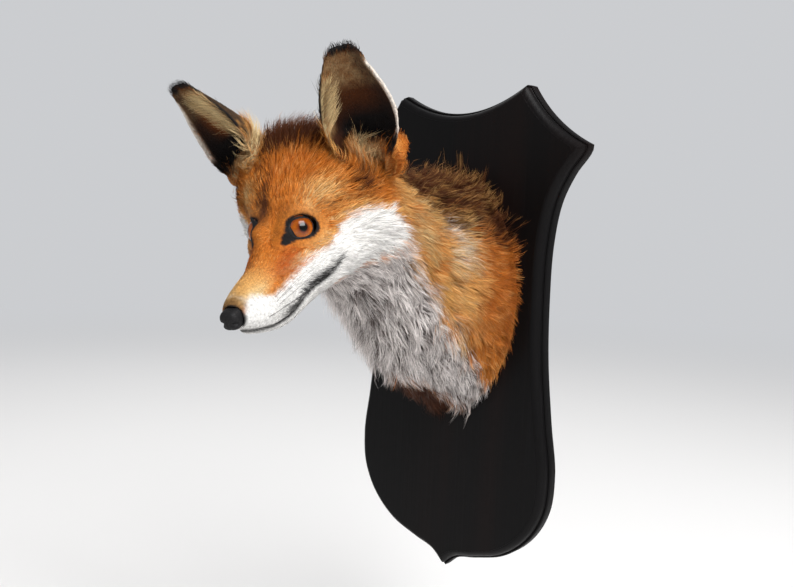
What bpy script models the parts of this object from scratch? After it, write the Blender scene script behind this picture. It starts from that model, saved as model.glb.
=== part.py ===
"""A red fox's head and neck, mounted on a shield-shaped plaque that hangs on a wall.

Metres, +Z up. The origin is the middle of the plaque's back face, on its axis. +X runs along the wall
and +Y into it, so the neck comes out along -Y. The head's pieces are modelled in the head's own frame,
with the nose tip at 0, +X to the fox's left, +Y back along the muzzle and +Z to the crown, and hang
from an empty that sets the head's place and turn. The solids reach out to the tips of the coat.
Sizes are written in millimetres, and MM scales them as a mesh is made.
"""
import math

import bmesh
import bpy
import numpy as np
from mathutils import Matrix, Vector

MM = 0.001
GAP = 0.3                                           # between pieces that meet

# ---- the plaque: right half of its outline as (x, z), and its moulding as (inset, out from the wall)
PLAQUE_HEIGHT = 400.0
PLAQUE_DEPTH = 15.5
HORN_X = 61.0                                       # the two blunt horns of the top edge
HORN_BLUNT = 5.0
HORN_DROP = 1.0                                     # the outer end of a horn lies this far under its top
TOP_SAG = 18.0                                      # how far the top edge dips between them
CORNER = (117.5, 153.0)                             # the widest corners
CORNER_SAG = 5.0                                    # how far the edge from horn to corner is hollowed
SIDE = ((117.0, 149.0), (104.5, 132.0), (94.0, 111.0), (88.0, 80.0), (86.5, 36.0), (88.0, -11.0),
        (93.5, -60.0), (99.0, -101.0), (96.0, -130.0), (82.5, -155.0), (59.0, -174.5),
        (31.0, -184.5), (12.0, -190.0), (0.0, -200.0))
MOULDING = ((0.0, 0.0), (0.0, 7.0), (1.5, 8.0), (2.3, 11.0), (4.6, 14.0), (7.2, PLAQUE_DEPTH))
TOP_STEPS = 8
CORNER_STEPS = 7
SIDE_STEPS = 24
MITRE_LIMIT = 0.35                                  # how sharp a corner of the outline may stay when moved in

# ---- the head: where it is, and its upright sections across the muzzle
NOSE_TIP = (44.8, -273.4, 34.1)
HEAD_YAW = 20.9
HEAD_PITCH = 26.5
HEAD_ROLL = -6.06
#          back  crown   chin  half  widest  roundness: a larger number is squarer
#                               width level  upper lower
HEAD = ((      5,   2.5,  -9.5,  6.0,  -5.0,  2.2, 2.0),
        (     12,   6.5, -16.4, 11.0,  -7.0,  2.3, 2.0),
        (     25,   8.5, -25.4, 14.5,  -9.0,  2.3, 2.2),
        (     40,  10.5, -32.0, 16.5, -10.0,  2.2, 2.3),
        (     50,  12.5, -34.2, 18.0,  -9.0,  2.1, 2.2),
        (     60,  16.0, -34.8, 20.0,  -6.5,  2.1, 2.1),
        (     75,  27.5, -34.5, 27.5,  -3.0,  2.1, 2.0),
        (     90,  41.5, -36.0, 37.5,   0.0,  2.1, 1.9),
        (    105,  53.0, -38.0, 49.0,   1.0,  2.2, 1.9),
        (    120,  62.0, -39.0, 57.0,   1.0,  2.3, 1.9),
        (    135,  68.0, -36.0, 60.5,   2.0,  2.3, 1.9),
        (    150,  66.0, -24.0, 53.0,   6.0,  2.2, 2.0),
        (    163,  52.0,  -4.0, 36.0,  14.0,  2.0, 2.0),
        (    170,  38.0,  12.0, 18.0,  22.0,  2.0, 2.0))
HEAD_FRONT = (0.0, 2.5, -5.0)
HEAD_BACK = (0.0, 173.0, 25.0)
HEAD_RINGS = 39
HEAD_AROUND = 36
# where the section is pushed out (+) or in (-), on both sides: centre, reach, how far
PRESSES = (((22, 73, 19), 13, -3.0),                # eye socket
           ((20, 88, 36), 13, 2.0),                 # brow
           ((46, 105, 4), 17, -4.5),                # cheek, behind the bone
           ((38, 92, 14), 12, -4.5),                # between the eye and the temple
           ((0, 72, 30), 12, -1.5),                 # stop, between the eyes
           ((13, 24, -12), 11, 1.2),                # whisker pad
           ((16, 52, 4), 13, -1.2))                 # hollow of the muzzle's side

# ---- the mouth, as a side outline of (back, up); the lower jaw is what lies under it
MOUTH_LINE = ((2, -13.0), (8, -13.6), (14, -16.8), (27, -21.4), (38, -23.2), (46, -23.8), (54, -21.8),
              (61, -19.5), (68, -18.0), (78, -17.2), (86, -14.0))
JAW_BACK = ((95, -22), (101, -50), (0, -60))
JAW_FRONT = (8.5, -30)                              # the lower lip starts this far behind the nose tip
JAW_REACH = 60.0

# ---- eyes and nose
EYE = (15.6, 79.8, 17.0)
EYE_RADIUS = 8.0
EYE_SEGMENTS = 20
NOSE = (0.0, 6.3, -3.2)
NOSE_SIZE = (6.2, 6.2, 6.0)
NOSE_SQUARE = 3.0                                   # 2 is a ball, and a larger number is a blunter block
NOSTRIL = (4.2, 1.8, -2.8)
NOSTRIL_REACH = 2.2
NOSTRIL_DEPTH = 1.8
NOSE_SEGMENTS = 22

# ---- ears: middle of the root, tip, the way the cup faces, and how much of the sideways shift it has;
#      then the sections up the ear
EARS = {"ear_left": ((46.0, 134.0, 44.0), (56.5, 115.0, 115.0), (0.38, -0.90, 0.20), 1.0),
        "ear_right": ((-41.0, 132.0, 45.0), (-58.0, 106.0, 110.0), (-0.28, -0.94, 0.20), 0.3)}
#              up   half    half turn   set   sideways
#                  the arc  (degrees)   back  shift
EAR_CUP = ((-0.25,  31.0,    140.0,     9.0,   0.0),
           ( 0.00,  38.5,    130.0,    13.0,  -0.8),
           ( 0.15,  40.0,    106.0,    15.0,  -2.0),
           ( 0.35,  34.5,     84.0,    13.5,  -0.5),
           ( 0.60,  24.8,     62.0,     9.0,   2.0),
           ( 0.80,  16.3,     46.0,     4.5,   2.6),
           ( 0.93,  11.6,     36.0,     1.5,   1.6),
           ( 1.00,   7.0,     30.0,     0.0,   0.8))
EAR_THICK = 3.2
EAR_ROWS = 13
EAR_COLUMNS = 13
EAR_ROW_SPREAD = 0.9                                # under 1, the rows are closer together near the tip

# ---- the neck and its broad foot: upright sections across Y, from inside the head to the plaque
#          Y     middle   top   foot   half width
NECK = ((-196.0,   9.0, 128.0,  74.0,  24.0),
        (-180.0,   8.0, 144.0,  60.0,  42.0),
        (-160.0,   6.0, 154.0,  46.0,  50.0),
        (-140.0,   4.0, 154.0,  31.0,  53.0),
        (-115.0,   2.0, 146.0,   4.0,  55.0),
        ( -90.0,   0.0, 138.0, -24.0,  58.0),
        ( -60.0,   0.0, 135.0, -46.0,  63.0),
        ( -35.0,   0.0, 136.0, -59.0,  68.0),
        ( -15.0,   0.0, 134.0, -66.0,  69.5))
NECK_RINGS = 18
SHOULDER_RINGS = 7
NECK_AROUND = 28
SHOULDER_FROM = -62.0

COLOURS = {"plaque": ((0.012, 0.009, 0.009), 0.42), "shoulder": ((0.42, 0.17, 0.06), 0.85),
           "neck": ((0.45, 0.22, 0.10), 0.85), "head": ((0.50, 0.17, 0.05), 0.80),
           "lower_jaw": ((0.72, 0.68, 0.62), 0.80), "nose": ((0.012, 0.011, 0.012), 0.35),
           "ear_left": ((0.30, 0.16, 0.07), 0.85), "ear_right": ((0.30, 0.16, 0.07), 0.85),
           "eye_left": ((0.30, 0.09, 0.01), 0.05), "eye_right": ((0.30, 0.09, 0.01), 0.05)}


def smooth(table, at):
    """A table's columns read at `at`, by cubics that never overshoot the table's own numbers."""
    table = np.asarray(table, float)
    x, columns = table[:, 0], table[:, 1:]
    step = np.diff(x)[:, None]
    slope = np.diff(columns, axis=0) / step
    tangent = np.zeros_like(columns)
    tangent[0], tangent[-1] = slope[0], slope[-1]
    same_way = slope[:-1] * slope[1:] > 0
    before, after = np.where(same_way, slope[:-1], 1.0), np.where(same_way, slope[1:], 1.0)
    weight = 2 * step[1:] + step[:-1], step[1:] + 2 * step[:-1]
    mean = sum(weight) / (weight[0] / before + weight[1] / after)
    tangent[1:-1] = np.where(same_way, mean, 0.0)
    at = np.atleast_1d(np.asarray(at, float))
    k = np.clip(np.searchsorted(x, at, side="right") - 1, 0, len(x) - 2)
    h = step[k]
    t = (at - x[k])[:, None] / h
    return (columns[k] * (1 + 2 * t) * (1 - t) ** 2 + tangent[k] * h * t * (1 - t) ** 2
            + columns[k + 1] * t * t * (3 - 2 * t) + tangent[k + 1] * h * t * t * (t - 1))


def new_object(name, build, parent=None):
    """A mesh object in metres from a function that fills a bmesh in millimetres."""
    shape = bmesh.new()
    build(shape)
    bmesh.ops.recalc_face_normals(shape, faces=shape.faces)
    bmesh.ops.scale(shape, vec=(MM, MM, MM), verts=shape.verts)
    mesh = bpy.data.meshes.new(name)
    shape.to_mesh(mesh)
    shape.free()
    obj = bpy.data.objects.new(name, mesh)
    obj.parent = parent
    bpy.context.scene.collection.objects.link(obj)
    if name in COLOURS:
        colour, roughness = COLOURS[name]
        material = bpy.data.materials.new(name)
        material.use_nodes = True
        shader = material.node_tree.nodes["Principled BSDF"]
        shader.inputs["Base Color"].default_value = (*colour, 1.0)
        shader.inputs["Roughness"].default_value = roughness
        mesh.materials.append(material)
    return obj


def cut(obj, cutter, operation="DIFFERENCE"):
    """Cut a piece with a hidden cutter, or keep only what lies inside it."""
    boolean = obj.modifiers.new(cutter.name, "BOOLEAN")
    boolean.object = cutter
    boolean.operation = operation
    boolean.solver = "EXACT"
    cutter.hide_render = True
    cutter.display_type = "WIRE"


def ring_of(shape, points):
    """A closed loop of edges."""
    verts = [shape.verts.new(point) for point in points]
    return [shape.edges.new((a, b)) for a, b in zip(verts, verts[1:] + verts[:1])]


def loft(rings, ends=(None, None)):
    """A closed body through rings of points. An end is drawn out to its point, or left flat."""
    def build(shape):
        loops = [ring_of(shape, ring) for ring in rings]
        for a, b in zip(loops, loops[1:]):
            bmesh.ops.bridge_loops(shape, edges=a + b)
        for loop, end in zip((loops[0], loops[-1]), ends):
            cap = bmesh.ops.edgenet_fill(shape, edges=loop)["faces"]
            if end is not None:
                peak = bmesh.ops.poke(shape, faces=cap)["verts"][0]
                peak.co = end
        bmesh.ops.triangulate(shape, faces=shape.faces)
    return build


def grown_by(distance, solid):
    """A solid with its surface moved out on every side, to cut its neighbours with a gap."""
    def build(shape):
        solid(shape)
        bmesh.ops.recalc_face_normals(shape, faces=shape.faces)
        shape.normal_update()
        for vert in shape.verts:
            vert.co += vert.normal * distance
    return build


# ---- the plaque ----------------------------------------------------------------------------------
def plaque_outline():
    """The shield's outline, clockwise from the middle of its top edge."""
    top = PLAQUE_HEIGHT / 2
    right = []
    for f in np.linspace(0, 1, TOP_STEPS + 1):
        right.append((HORN_X * f, top - TOP_SAG * (1 - f * f)))
    horn = np.array((HORN_X + HORN_BLUNT, top - HORN_DROP))
    run = np.array(CORNER) - horn
    inward = np.array((run[1], -run[0])) / np.linalg.norm(run)
    for f in np.linspace(0, 1, CORNER_STEPS + 1):
        right.append(horn + run * f + inward * CORNER_SAG * 4 * f * (1 - f))
    side = np.array(SIDE)
    along = np.concatenate([[0], np.cumsum(np.hypot(*np.diff(side, axis=0).T))])
    right.extend(smooth(np.column_stack([along, side]), np.linspace(0, along[-1], SIDE_STEPS)))
    right = np.array(right)
    return np.vstack([right, right[1:-1][::-1] * (-1, 1)])


def inset(outline, depth):
    """The outline moved in by `depth`. Points that this takes too near another side close up."""
    after, before = np.roll(outline, -1, 0), np.roll(outline, 1, 0)
    normals = []
    for edge in (outline - before, after - outline):
        normals.append(np.stack([edge[:, 1], -edge[:, 0]], 1) / np.linalg.norm(edge, axis=1)[:, None])
    mean = normals[0] + normals[1]
    mean /= np.maximum((mean * normals[0]).sum(1), MITRE_LIMIT)[:, None]
    moved = outline + mean * depth
    run = after - outline
    away = moved[:, None] - outline
    along = np.clip((away * run).sum(2) / (run * run).sum(1), 0, 1)
    room = np.linalg.norm(away - along[:, :, None] * run, axis=2).min(1)
    number = np.arange(len(moved))
    clear = room > depth - GAP / 2
    for column in moved.T:
        column[:] = np.interp(number, number[clear], column[clear], period=len(moved))
    return moved


def make_plaque():
    outline = plaque_outline()

    def build(shape):
        loops = []
        for depth, out in MOULDING:
            loops.append(ring_of(shape, [(x, -out, z) for x, z in inset(outline, depth)]))
        for a, b in zip(loops, loops[1:]):
            bmesh.ops.bridge_loops(shape, edges=a + b)
        for loop in (loops[0], loops[-1]):
            bmesh.ops.edgenet_fill(shape, edges=loop)
        bmesh.ops.remove_doubles(shape, verts=shape.verts, dist=0.05)
        bmesh.ops.triangulate(shape, faces=shape.faces)
    return new_object("plaque", build)


# ---- the neck ------------------------------------------------------------------------------------
def make_neck(name, start, stop, rings, grown=0.0):
    """The stretch of the neck between two values of Y, or a grown copy to cut its neighbours."""
    turn = np.linspace(0, 2 * math.pi, NECK_AROUND, endpoint=False)
    ys = np.linspace(start, stop, rings)
    loops = []
    for y, (middle, top, foot, half) in zip(ys, smooth(NECK, ys)):
        level, reach = (top + foot) / 2, (top - foot) / 2
        loops.append([(middle + half * math.cos(a), y, level + reach * math.sin(a)) for a in turn])
    return new_object(name, grown_by(grown, loft(loops)))


# ---- the head ------------------------------------------------------------------------------------
def head_frame():
    empty = bpy.data.objects.new("head_frame", None)
    bpy.context.scene.collection.objects.link(empty)
    turns = zip((HEAD_YAW, HEAD_PITCH, HEAD_ROLL), "ZXY")
    matrix = Matrix.Translation(Vector(NOSE_TIP) * MM)
    for angle, axis in turns:
        matrix = matrix @ Matrix.Rotation(math.radians(angle), 4, axis)
    empty.matrix_world = matrix
    return empty


def section(y, crown, chin, half, widest, upper, lower):
    """One upright ring of the head: two half superellipses that meet at its widest level."""
    turn = np.linspace(0, 2 * math.pi, HEAD_AROUND, endpoint=False)
    c, s = np.cos(turn), np.sin(turn)
    roundness = 2 / np.where(s > 0, upper, lower)
    reach = np.where(s > 0, crown - widest, widest - chin)
    x = half * np.sign(c) * np.abs(c) ** roundness
    z = widest + reach * np.sign(s) * np.abs(s) ** roundness
    return np.stack([x, np.full_like(x, y), z], 1)


def press(ring, middle):
    """The ring with its hollows and bulges, each pushed along the line out from `middle`."""
    away = ring - middle
    away /= np.linalg.norm(away, axis=1)[:, None]
    pressed = ring.copy()
    for centre, reach, out in PRESSES:
        for side in ((1, -1) if centre[0] else (1,)):
            far = np.linalg.norm(ring - np.array(centre) * (side, 1, 1), axis=1)
            pressed += away * (out * np.exp(-(far / reach) ** 2))[:, None]
    return pressed


def make_head(name, frame, grown=0.0):
    """The whole head with its jaw, or a copy of it grown on every side, to cut its neighbours."""
    ys = np.linspace(HEAD[0][0], HEAD[-1][0], HEAD_RINGS)
    rings = []
    for y, sizes in zip(ys, smooth(HEAD, ys)):
        widest = sizes[3]
        rings.append(press(section(y, *sizes), (0, y, widest)))
    return new_object(name, grown_by(grown, loft(rings, (HEAD_FRONT, HEAD_BACK))), frame)


def make_slab(name, frame, grown):
    """What lies under the mouth line, right across the head, with its upper side raised by `grown`."""
    edge = [JAW_FRONT] + [(y, z + grown) for y, z in MOUTH_LINE if y > JAW_FRONT[0]]
    back = [(y + grown, z) for y, z in JAW_BACK]
    edge[0] = (JAW_FRONT[0] - grown, edge[1][1] + 1.0)
    outline = edge + back[:-1] + [(edge[0][0], back[-1][1])]

    def build(shape):
        loop = ring_of(shape, [(-JAW_REACH, y, z) for y, z in outline])
        faces = bmesh.ops.edgenet_fill(shape, edges=loop)["faces"]
        grew = bmesh.ops.extrude_face_region(shape, geom=faces)["geom"]
        far = [vert for vert in grew if isinstance(vert, bmesh.types.BMVert)]
        bmesh.ops.translate(shape, vec=(2 * JAW_REACH, 0, 0), verts=far)
    return new_object(name, build, frame)


def make_ball(name, frame, centre, size, segments, square=2.0, dent=None):
    """A ball with its poles to the front and the back, or a blunt block where `square` is over 2."""
    def build(shape):
        bmesh.ops.create_uvsphere(shape, u_segments=segments, v_segments=segments // 2, radius=1.0,
                                  matrix=Matrix.Rotation(math.radians(90), 4, "X"))
        for vert in shape.verts:
            blunt = sum(abs(c) ** square for c in vert.co) ** (-1 / square)
            vert.co = [a + b * blunt * c for a, b, c in zip(centre, vert.co, size)]
            if dent:
                vert.co += dent(vert.co)
    return new_object(name, build, frame)


def nostrils(point):
    """How far the nose pad is dented at a point: two nostrils, and the groove between them."""
    push = 0.0
    for side in (1, -1):
        far = (point - Vector((NOSTRIL[0] * side, *NOSTRIL[1:]))).length
        push += NOSTRIL_DEPTH * math.exp(-(far / NOSTRIL_REACH) ** 2)
    return (Vector(NOSE) - point).normalized() * push


def make_ear(name, frame, root, tip, facing, lean):
    """A cup of rolled skin that opens and flattens up to its tip."""
    root, tip, facing = (np.array(v, float) for v in (root, tip, facing))
    axis = tip - root
    facing -= axis * (facing @ axis) / (axis @ axis)
    facing /= np.linalg.norm(facing)
    across = np.cross(facing, axis) / np.linalg.norm(axis)

    def build(shape):
        bmesh.ops.create_grid(shape, x_segments=EAR_COLUMNS - 1, y_segments=EAR_ROWS - 1, size=1.0)
        lowest = EAR_CUP[0][0]
        for vert in shape.verts:
            up = lowest + (1 - lowest) * ((vert.co.y + 1) / 2) ** EAR_ROW_SPREAD
            arc, turn, back, shift = smooth(EAR_CUP, up)[0]
            turn = math.radians(turn)
            radius = arc / turn
            angle = vert.co.x * turn + lean * shift / radius
            vert.co = (root + axis * up + across * radius * math.sin(angle)
                       + facing * (radius * (1 - math.cos(angle)) - back))
    ear = new_object(name, build, frame)
    wall = ear.modifiers.new("wall", "SOLIDIFY")
    wall.thickness = EAR_THICK * MM
    wall.offset = 0.0
    return ear


def main():
    for old in list(bpy.data.objects):
        bpy.data.objects.remove(old)
    make_plaque()
    make_neck("shoulder", SHOULDER_FROM + GAP, -PLAQUE_DEPTH - GAP, SHOULDER_RINGS)
    neck = make_neck("neck", NECK[0][0], SHOULDER_FROM, NECK_RINGS)
    neck_room = make_neck("neck_room", NECK[0][0], SHOULDER_FROM, NECK_RINGS, GAP)

    frame = head_frame()
    head = make_head("head", frame)
    jaw = make_head("lower_jaw", frame)
    head_room = make_head("head_room", frame, GAP)
    cut(jaw, make_slab("under_mouth", frame, 0.0), "INTERSECT")
    cut(head, make_slab("mouth_room", frame, GAP))
    cut(neck, head_room)

    make_ball("nose", frame, NOSE, NOSE_SIZE, NOSE_SEGMENTS, NOSE_SQUARE, nostrils)
    room_size = [size + GAP for size in NOSE_SIZE]
    nose_room = make_ball("nose_room", frame, NOSE, room_size, NOSE_SEGMENTS, NOSE_SQUARE)
    for piece in (head, jaw):
        cut(piece, nose_room)

    for name, side in (("eye_left", 1), ("eye_right", -1)):
        centre = (EYE[0] * side, EYE[1], EYE[2])
        make_ball(name, frame, centre, [EYE_RADIUS] * 3, EYE_SEGMENTS)
        cut(head, make_ball(name + "_room", frame, centre, [EYE_RADIUS + GAP] * 3, EYE_SEGMENTS))
    for name, sizes in EARS.items():
        ear = make_ear(name, frame, *sizes)
        for room in (head_room, neck_room):
            cut(ear, room)


main()
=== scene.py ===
"""The looks of a red fox's head and neck on a shield-shaped plaque: its skin, coat, eyes and stand.

Run it as a script. It is laid out as an add-on, so its sizes and colours can be changed in a panel.
Lengths are written in millimetres and scaled by MM as a mesh is made. World points have +Z up and
+Y into the wall. Head points have the nose tip at 0, +X to the fox's left, +Y back along the
muzzle and +Z to the crown.
"""
import math

import bmesh
import bpy
import numpy as np
from bpy.props import FloatProperty, FloatVectorProperty, PointerProperty
from mathutils import Matrix, Vector
from mathutils.bvhtree import BVHTree
from mathutils.kdtree import KDTree


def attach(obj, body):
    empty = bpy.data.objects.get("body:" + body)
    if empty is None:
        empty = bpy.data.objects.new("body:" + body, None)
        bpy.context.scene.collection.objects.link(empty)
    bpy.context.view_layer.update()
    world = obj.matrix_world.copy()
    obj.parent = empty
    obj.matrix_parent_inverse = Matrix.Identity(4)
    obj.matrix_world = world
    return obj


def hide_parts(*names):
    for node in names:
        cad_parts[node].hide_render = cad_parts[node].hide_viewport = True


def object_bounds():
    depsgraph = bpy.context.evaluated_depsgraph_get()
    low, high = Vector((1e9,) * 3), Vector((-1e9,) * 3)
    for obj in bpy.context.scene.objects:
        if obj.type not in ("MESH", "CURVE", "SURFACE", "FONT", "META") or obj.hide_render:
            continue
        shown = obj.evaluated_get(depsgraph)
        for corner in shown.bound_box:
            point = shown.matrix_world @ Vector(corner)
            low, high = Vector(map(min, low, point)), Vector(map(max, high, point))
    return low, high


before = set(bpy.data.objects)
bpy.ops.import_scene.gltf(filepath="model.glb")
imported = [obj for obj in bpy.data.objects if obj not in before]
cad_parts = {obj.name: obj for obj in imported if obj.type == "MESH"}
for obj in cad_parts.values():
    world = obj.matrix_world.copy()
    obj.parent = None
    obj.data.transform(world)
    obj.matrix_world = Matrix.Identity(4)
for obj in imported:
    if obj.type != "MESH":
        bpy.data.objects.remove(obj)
CAD_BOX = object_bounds()

bl_info = {
    "name": "Mounted Fox Head",
    "version": (1, 0, 0),
    "blender": (4, 5, 0),
    "location": "View3D > Sidebar > Fox",
    "description": "Skin, coat, eyes, nose and plaque of a mounted fox head",
    "category": "Object",
}

MM = 0.001
BODY = "root"
FLESH = ("head", "lower_jaw", "neck", "shoulder", "ear_left", "ear_right")
SEED = 7

# ---- the head's place and turn
NOSE_TIP = np.array((44.8, -273.4, 34.1))
HEAD_TURN = (Matrix.Rotation(math.radians(20.9), 3, "Z") @ Matrix.Rotation(math.radians(26.5), 3, "X")
             @ Matrix.Rotation(math.radians(-6.06), 3, "Y"))
HEAD_AXES = np.array(HEAD_TURN)

# ---- the neck across Y: its middle, top and foot
NECK = ((-196, 9, 128, 74), (-180, 8, 144, 60), (-160, 6, 154, 46), (-140, 4, 154, 31), (-115, 2, 146, 4),
        (-90, 0, 138, -24), (-60, 0, 135, -46), (-35, 0, 136, -59), (-15, 0, 134, -66))

PLAQUE_FACE = -15.5

# ---- landmarks on the head: how far back, and how high
MOUTH = ((2, -13.0), (8, -13.6), (14, -16.8), (27, -21.4), (38, -23.2), (46, -23.8), (54, -21.8),
         (61, -19.5), (68, -18.0), (78, -17.2), (86, -14.0))
WHITE_TOP = ((8, -2), (14, 4.5), (22, 3), (29, -3), (40, -5), (53, -3), (62, 0), (71, 2.5), (82, 4.5),
             (88, 7.5), (93, 11.5), (100, 13.5), (107, 14.5), (114, 12), (121, 3), (129, -9))
WHITE_FOOT = ((80, -60), (88, -27), (100, -25.5), (108, -23), (114, -22), (122, -18.5), (129, -12))

# ---- the eyes. The right one is mirrored, but looks further out
EYE = (14.2, 78.4, 17.0)
EYE_RADIUS = 8.0
EYE_SIDES = {"left": 1, "right": -1}
GAZES = {1: (0.766, -0.536, 0.354), -1: (0.855, -0.377, 0.354)}
LID_ROLL = -25.5  # degrees that the corners droop to the tail
# how far the glass shows, and how far the black of the lids spreads, round the gaze in degrees:
# 0 is the tail side and 90 is up
OPENING = ((0, 7.1), (20, 7.7), (42, 7.7), (62, 6.5), (90, 5.5), (122, 5.9), (148, 7.1), (173, 7.4),
           (199, 7.5), (224, 7.5), (250, 6.3), (270, 5.8), (300, 5.8), (332, 6.4))
LIDS = ((0, 11.8), (20, 11.8), (40, 10.4), (62, 9.2), (90, 8.5), (122, 9.0), (152, 9.9), (169, 10.1),
        (196, 11.6), (210, 14.8), (217, 16.8), (227, 16.4), (233, 11.6), (245, 8.4), (262, 7.2),
        (290, 7.0), (312, 7.7), (346, 10.4))
LID_BAND = 1.7  # how much of the black is bare lid
GLASS_RADIUS, GLASS_BACK = 9.6, 1.75  # the glass is flatter than the socket's ball

# ---- the nose pad: its middle, half sizes, and how square it is (2 is round)
NOSE = (0.0, 6.3, -3.2)
NOSE_SIZE = (6.2, 6.2, 6.0)
NOSE_SQUARE = 3.0

# ---- ears: middle of the root, tip, the way the cup faces, and which way across is to the midline
EARS = (((46.0, 134.0, 44.0), (56.5, 115.0, 115.0), (0.38, -0.90, 0.20), 1, 1.0),
        ((-41.0, 132.0, 45.0), (-58.0, 106.0, 110.0), (-0.28, -0.94, 0.20), -1, -0.3))
#             up, half arc, half turn (degrees), set back, shift to the midline
EAR_CUP = ((-0.25,  31.0,    140.0,     9.0,   0.0),
           ( 0.00,  38.5,    130.0,    13.0,  -0.8),
           ( 0.15,  40.0,    106.0,    15.0,  -2.0),
           ( 0.35,  34.5,     84.0,    13.5,  -0.5),
           ( 0.60,  24.8,     62.0,     9.0,   2.0),
           ( 0.80,  16.3,     46.0,     4.5,   2.6),
           ( 0.93,  11.6,     36.0,     1.5,   1.6),
           ( 1.00,   7.0,     30.0,     0.0,   0.8))


# ---- settings ----
def tint(name, description, default):
    return FloatVectorProperty(name=name, description=description, subtype="COLOR", size=3,
                               min=0.0, max=1.0, default=default)


class FoxCoatSettings(bpy.types.PropertyGroup):
    """The coat's colours and how thickly it grows."""
    orange: tint("Orange", "Main colour of the face and neck", (0.60, 0.185, 0.022))
    gold: tint("Gold", "Muzzle top and neck sides", (0.78, 0.43, 0.135))
    rust: tint("Rust", "Deep red patches", (0.42, 0.085, 0.010))
    brown: tint("Brown", "Crown, temples and nape", (0.070, 0.020, 0.006))
    cream: tint("Cream", "Long hair in the ears", (0.72, 0.54, 0.28))
    white: tint("White", "Lips, chin and cheeks", (0.93, 0.91, 0.88))
    silver: tint("Silver", "Tips of the chest hair", (0.88, 0.82, 0.79))
    slate: tint("Slate", "Roots of the chest hair", (0.135, 0.100, 0.088))
    black: tint("Black", "Ear tips, lids and lips", (0.012, 0.010, 0.010))
    growth: FloatProperty(name="Growth", description="Share of the full number of locks", min=0.02, max=1.0,
                          default=1.0, subtype="FACTOR")
    voxel: FloatProperty(name="Skin voxel", description="Size of the skin's mesh cells", min=0.0009,
                         max=0.004, default=0.00135, unit="LENGTH")


class FoxEyeSettings(bpy.types.PropertyGroup):
    """The glass eyes."""
    amber: tint("Amber", "Middle of the iris", (0.36, 0.085, 0.002))
    # the ring colour also paints the upper lid's shadow on the iris's top
    ring: tint("Ring", "Iris next to the pupil and at its rim", (0.090, 0.012, 0.002))
    iris: FloatProperty(name="Iris", description="Radius of the iris", default=0.0076, unit="LENGTH")
    pupil: FloatProperty(name="Pupil", description="Radius of the pupil", default=0.0028, unit="LENGTH")


class FoxPlaqueSettings(bpy.types.PropertyGroup):
    """The shield."""
    stain: tint("Stain", "Black stained wood", (0.0030, 0.0027, 0.0029))
    roughness: FloatProperty(name="Roughness", description="Of the stained face", default=0.40, min=0.0,
                             max=1.0)


class FoxStageSettings(bpy.types.PropertyGroup):
    """Floor, backdrop and lights."""
    floor: tint("Floor", "Pale floor", (0.80, 0.79, 0.78))
    backdrop: tint("Backdrop", "Colour behind the floor", (0.60, 0.61, 0.63))
    key: FloatProperty(name="Key light", description="Power of the window light", default=52.0, unit="POWER")
    fill: FloatProperty(name="Fill light", description="Power of the soft light", default=5.0, unit="POWER")
    sky: FloatProperty(name="Sky", description="Strength of the light from all round", default=0.33, min=0.0)
    sun: FloatProperty(name="Sun", description="Strength of the even light", default=1.5, min=0.0)


# ---- numbers ----
def ease(low, high, x):
    """0 below low, 1 above high, and smooth between them. low may be the larger."""
    t = np.clip((x - low) / (high - low), 0.0, 1.0)
    return t * t * (3 - 2 * t)


def read(table, at):
    """The columns of a table whose first column is where they are read, each by straight runs."""
    columns = np.asarray(table, float).T
    return [np.interp(at, columns[0], column) for column in columns[1:]]


def read_round(table, degrees):
    """The second column of a table whose first is an angle that comes round at 360."""
    angles, values = zip(*table)
    return np.interp(degrees, angles, values, period=360)


def spot(points, centre, reach):
    """1 at the centre, and fading out over the reach. reach may differ along the axes."""
    return np.exp(-(((points - np.array(centre)) / reach) ** 2).sum(1))


def both_sides(points):
    """The points with their X made positive, so that a mark is the same on both sides."""
    return np.abs(points * (1, 0, 0)) + points * (0, 1, 1)


def unit(vectors):
    return vectors / np.maximum(np.linalg.norm(vectors, axis=-1, keepdims=True), 1e-9)


def along_surface(vectors, normals):
    """Vectors with what points in or out of the surface taken away, at length 1."""
    return unit(vectors - (vectors * normals).sum(-1, keepdims=True) * normals)


def ripple(points, size, phase):
    """A smooth uneven pattern from -1 to 1, with bumps about `size` across."""
    k = 2 * math.pi / size
    x, y, z = points.T * k
    return (np.sin(x * 0.9 + 1.7 * np.sin(y * 0.55 + phase) + phase)
            * np.sin(y * 0.8 + 1.3 * np.sin(z * 0.6 + 2 * phase))
            + 0.6 * np.sin(z * 1.1 + 1.5 * np.sin(x * 0.7 + 3 * phase)) * np.sin(x * 0.5 - y * 0.6)) / 1.6


# ---- where a point lies on the fox ----
def eye_axes(side):
    """One eye's own axes in the head's frame: to its tail corner, up, and along its gaze."""
    gaze = unit(np.array(GAZES[side]))
    level = unit(np.cross((0, 0, 1), gaze))
    roll = math.radians(LID_ROLL)
    tail = level * math.cos(roll) + np.cross(gaze, level) * math.sin(roll)
    return [axis * (side, 1, 1) for axis in (tail, np.cross(gaze, tail), gaze)]


def eye_middle(side):
    return np.array(EYE) * (side, 1, 1)


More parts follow.
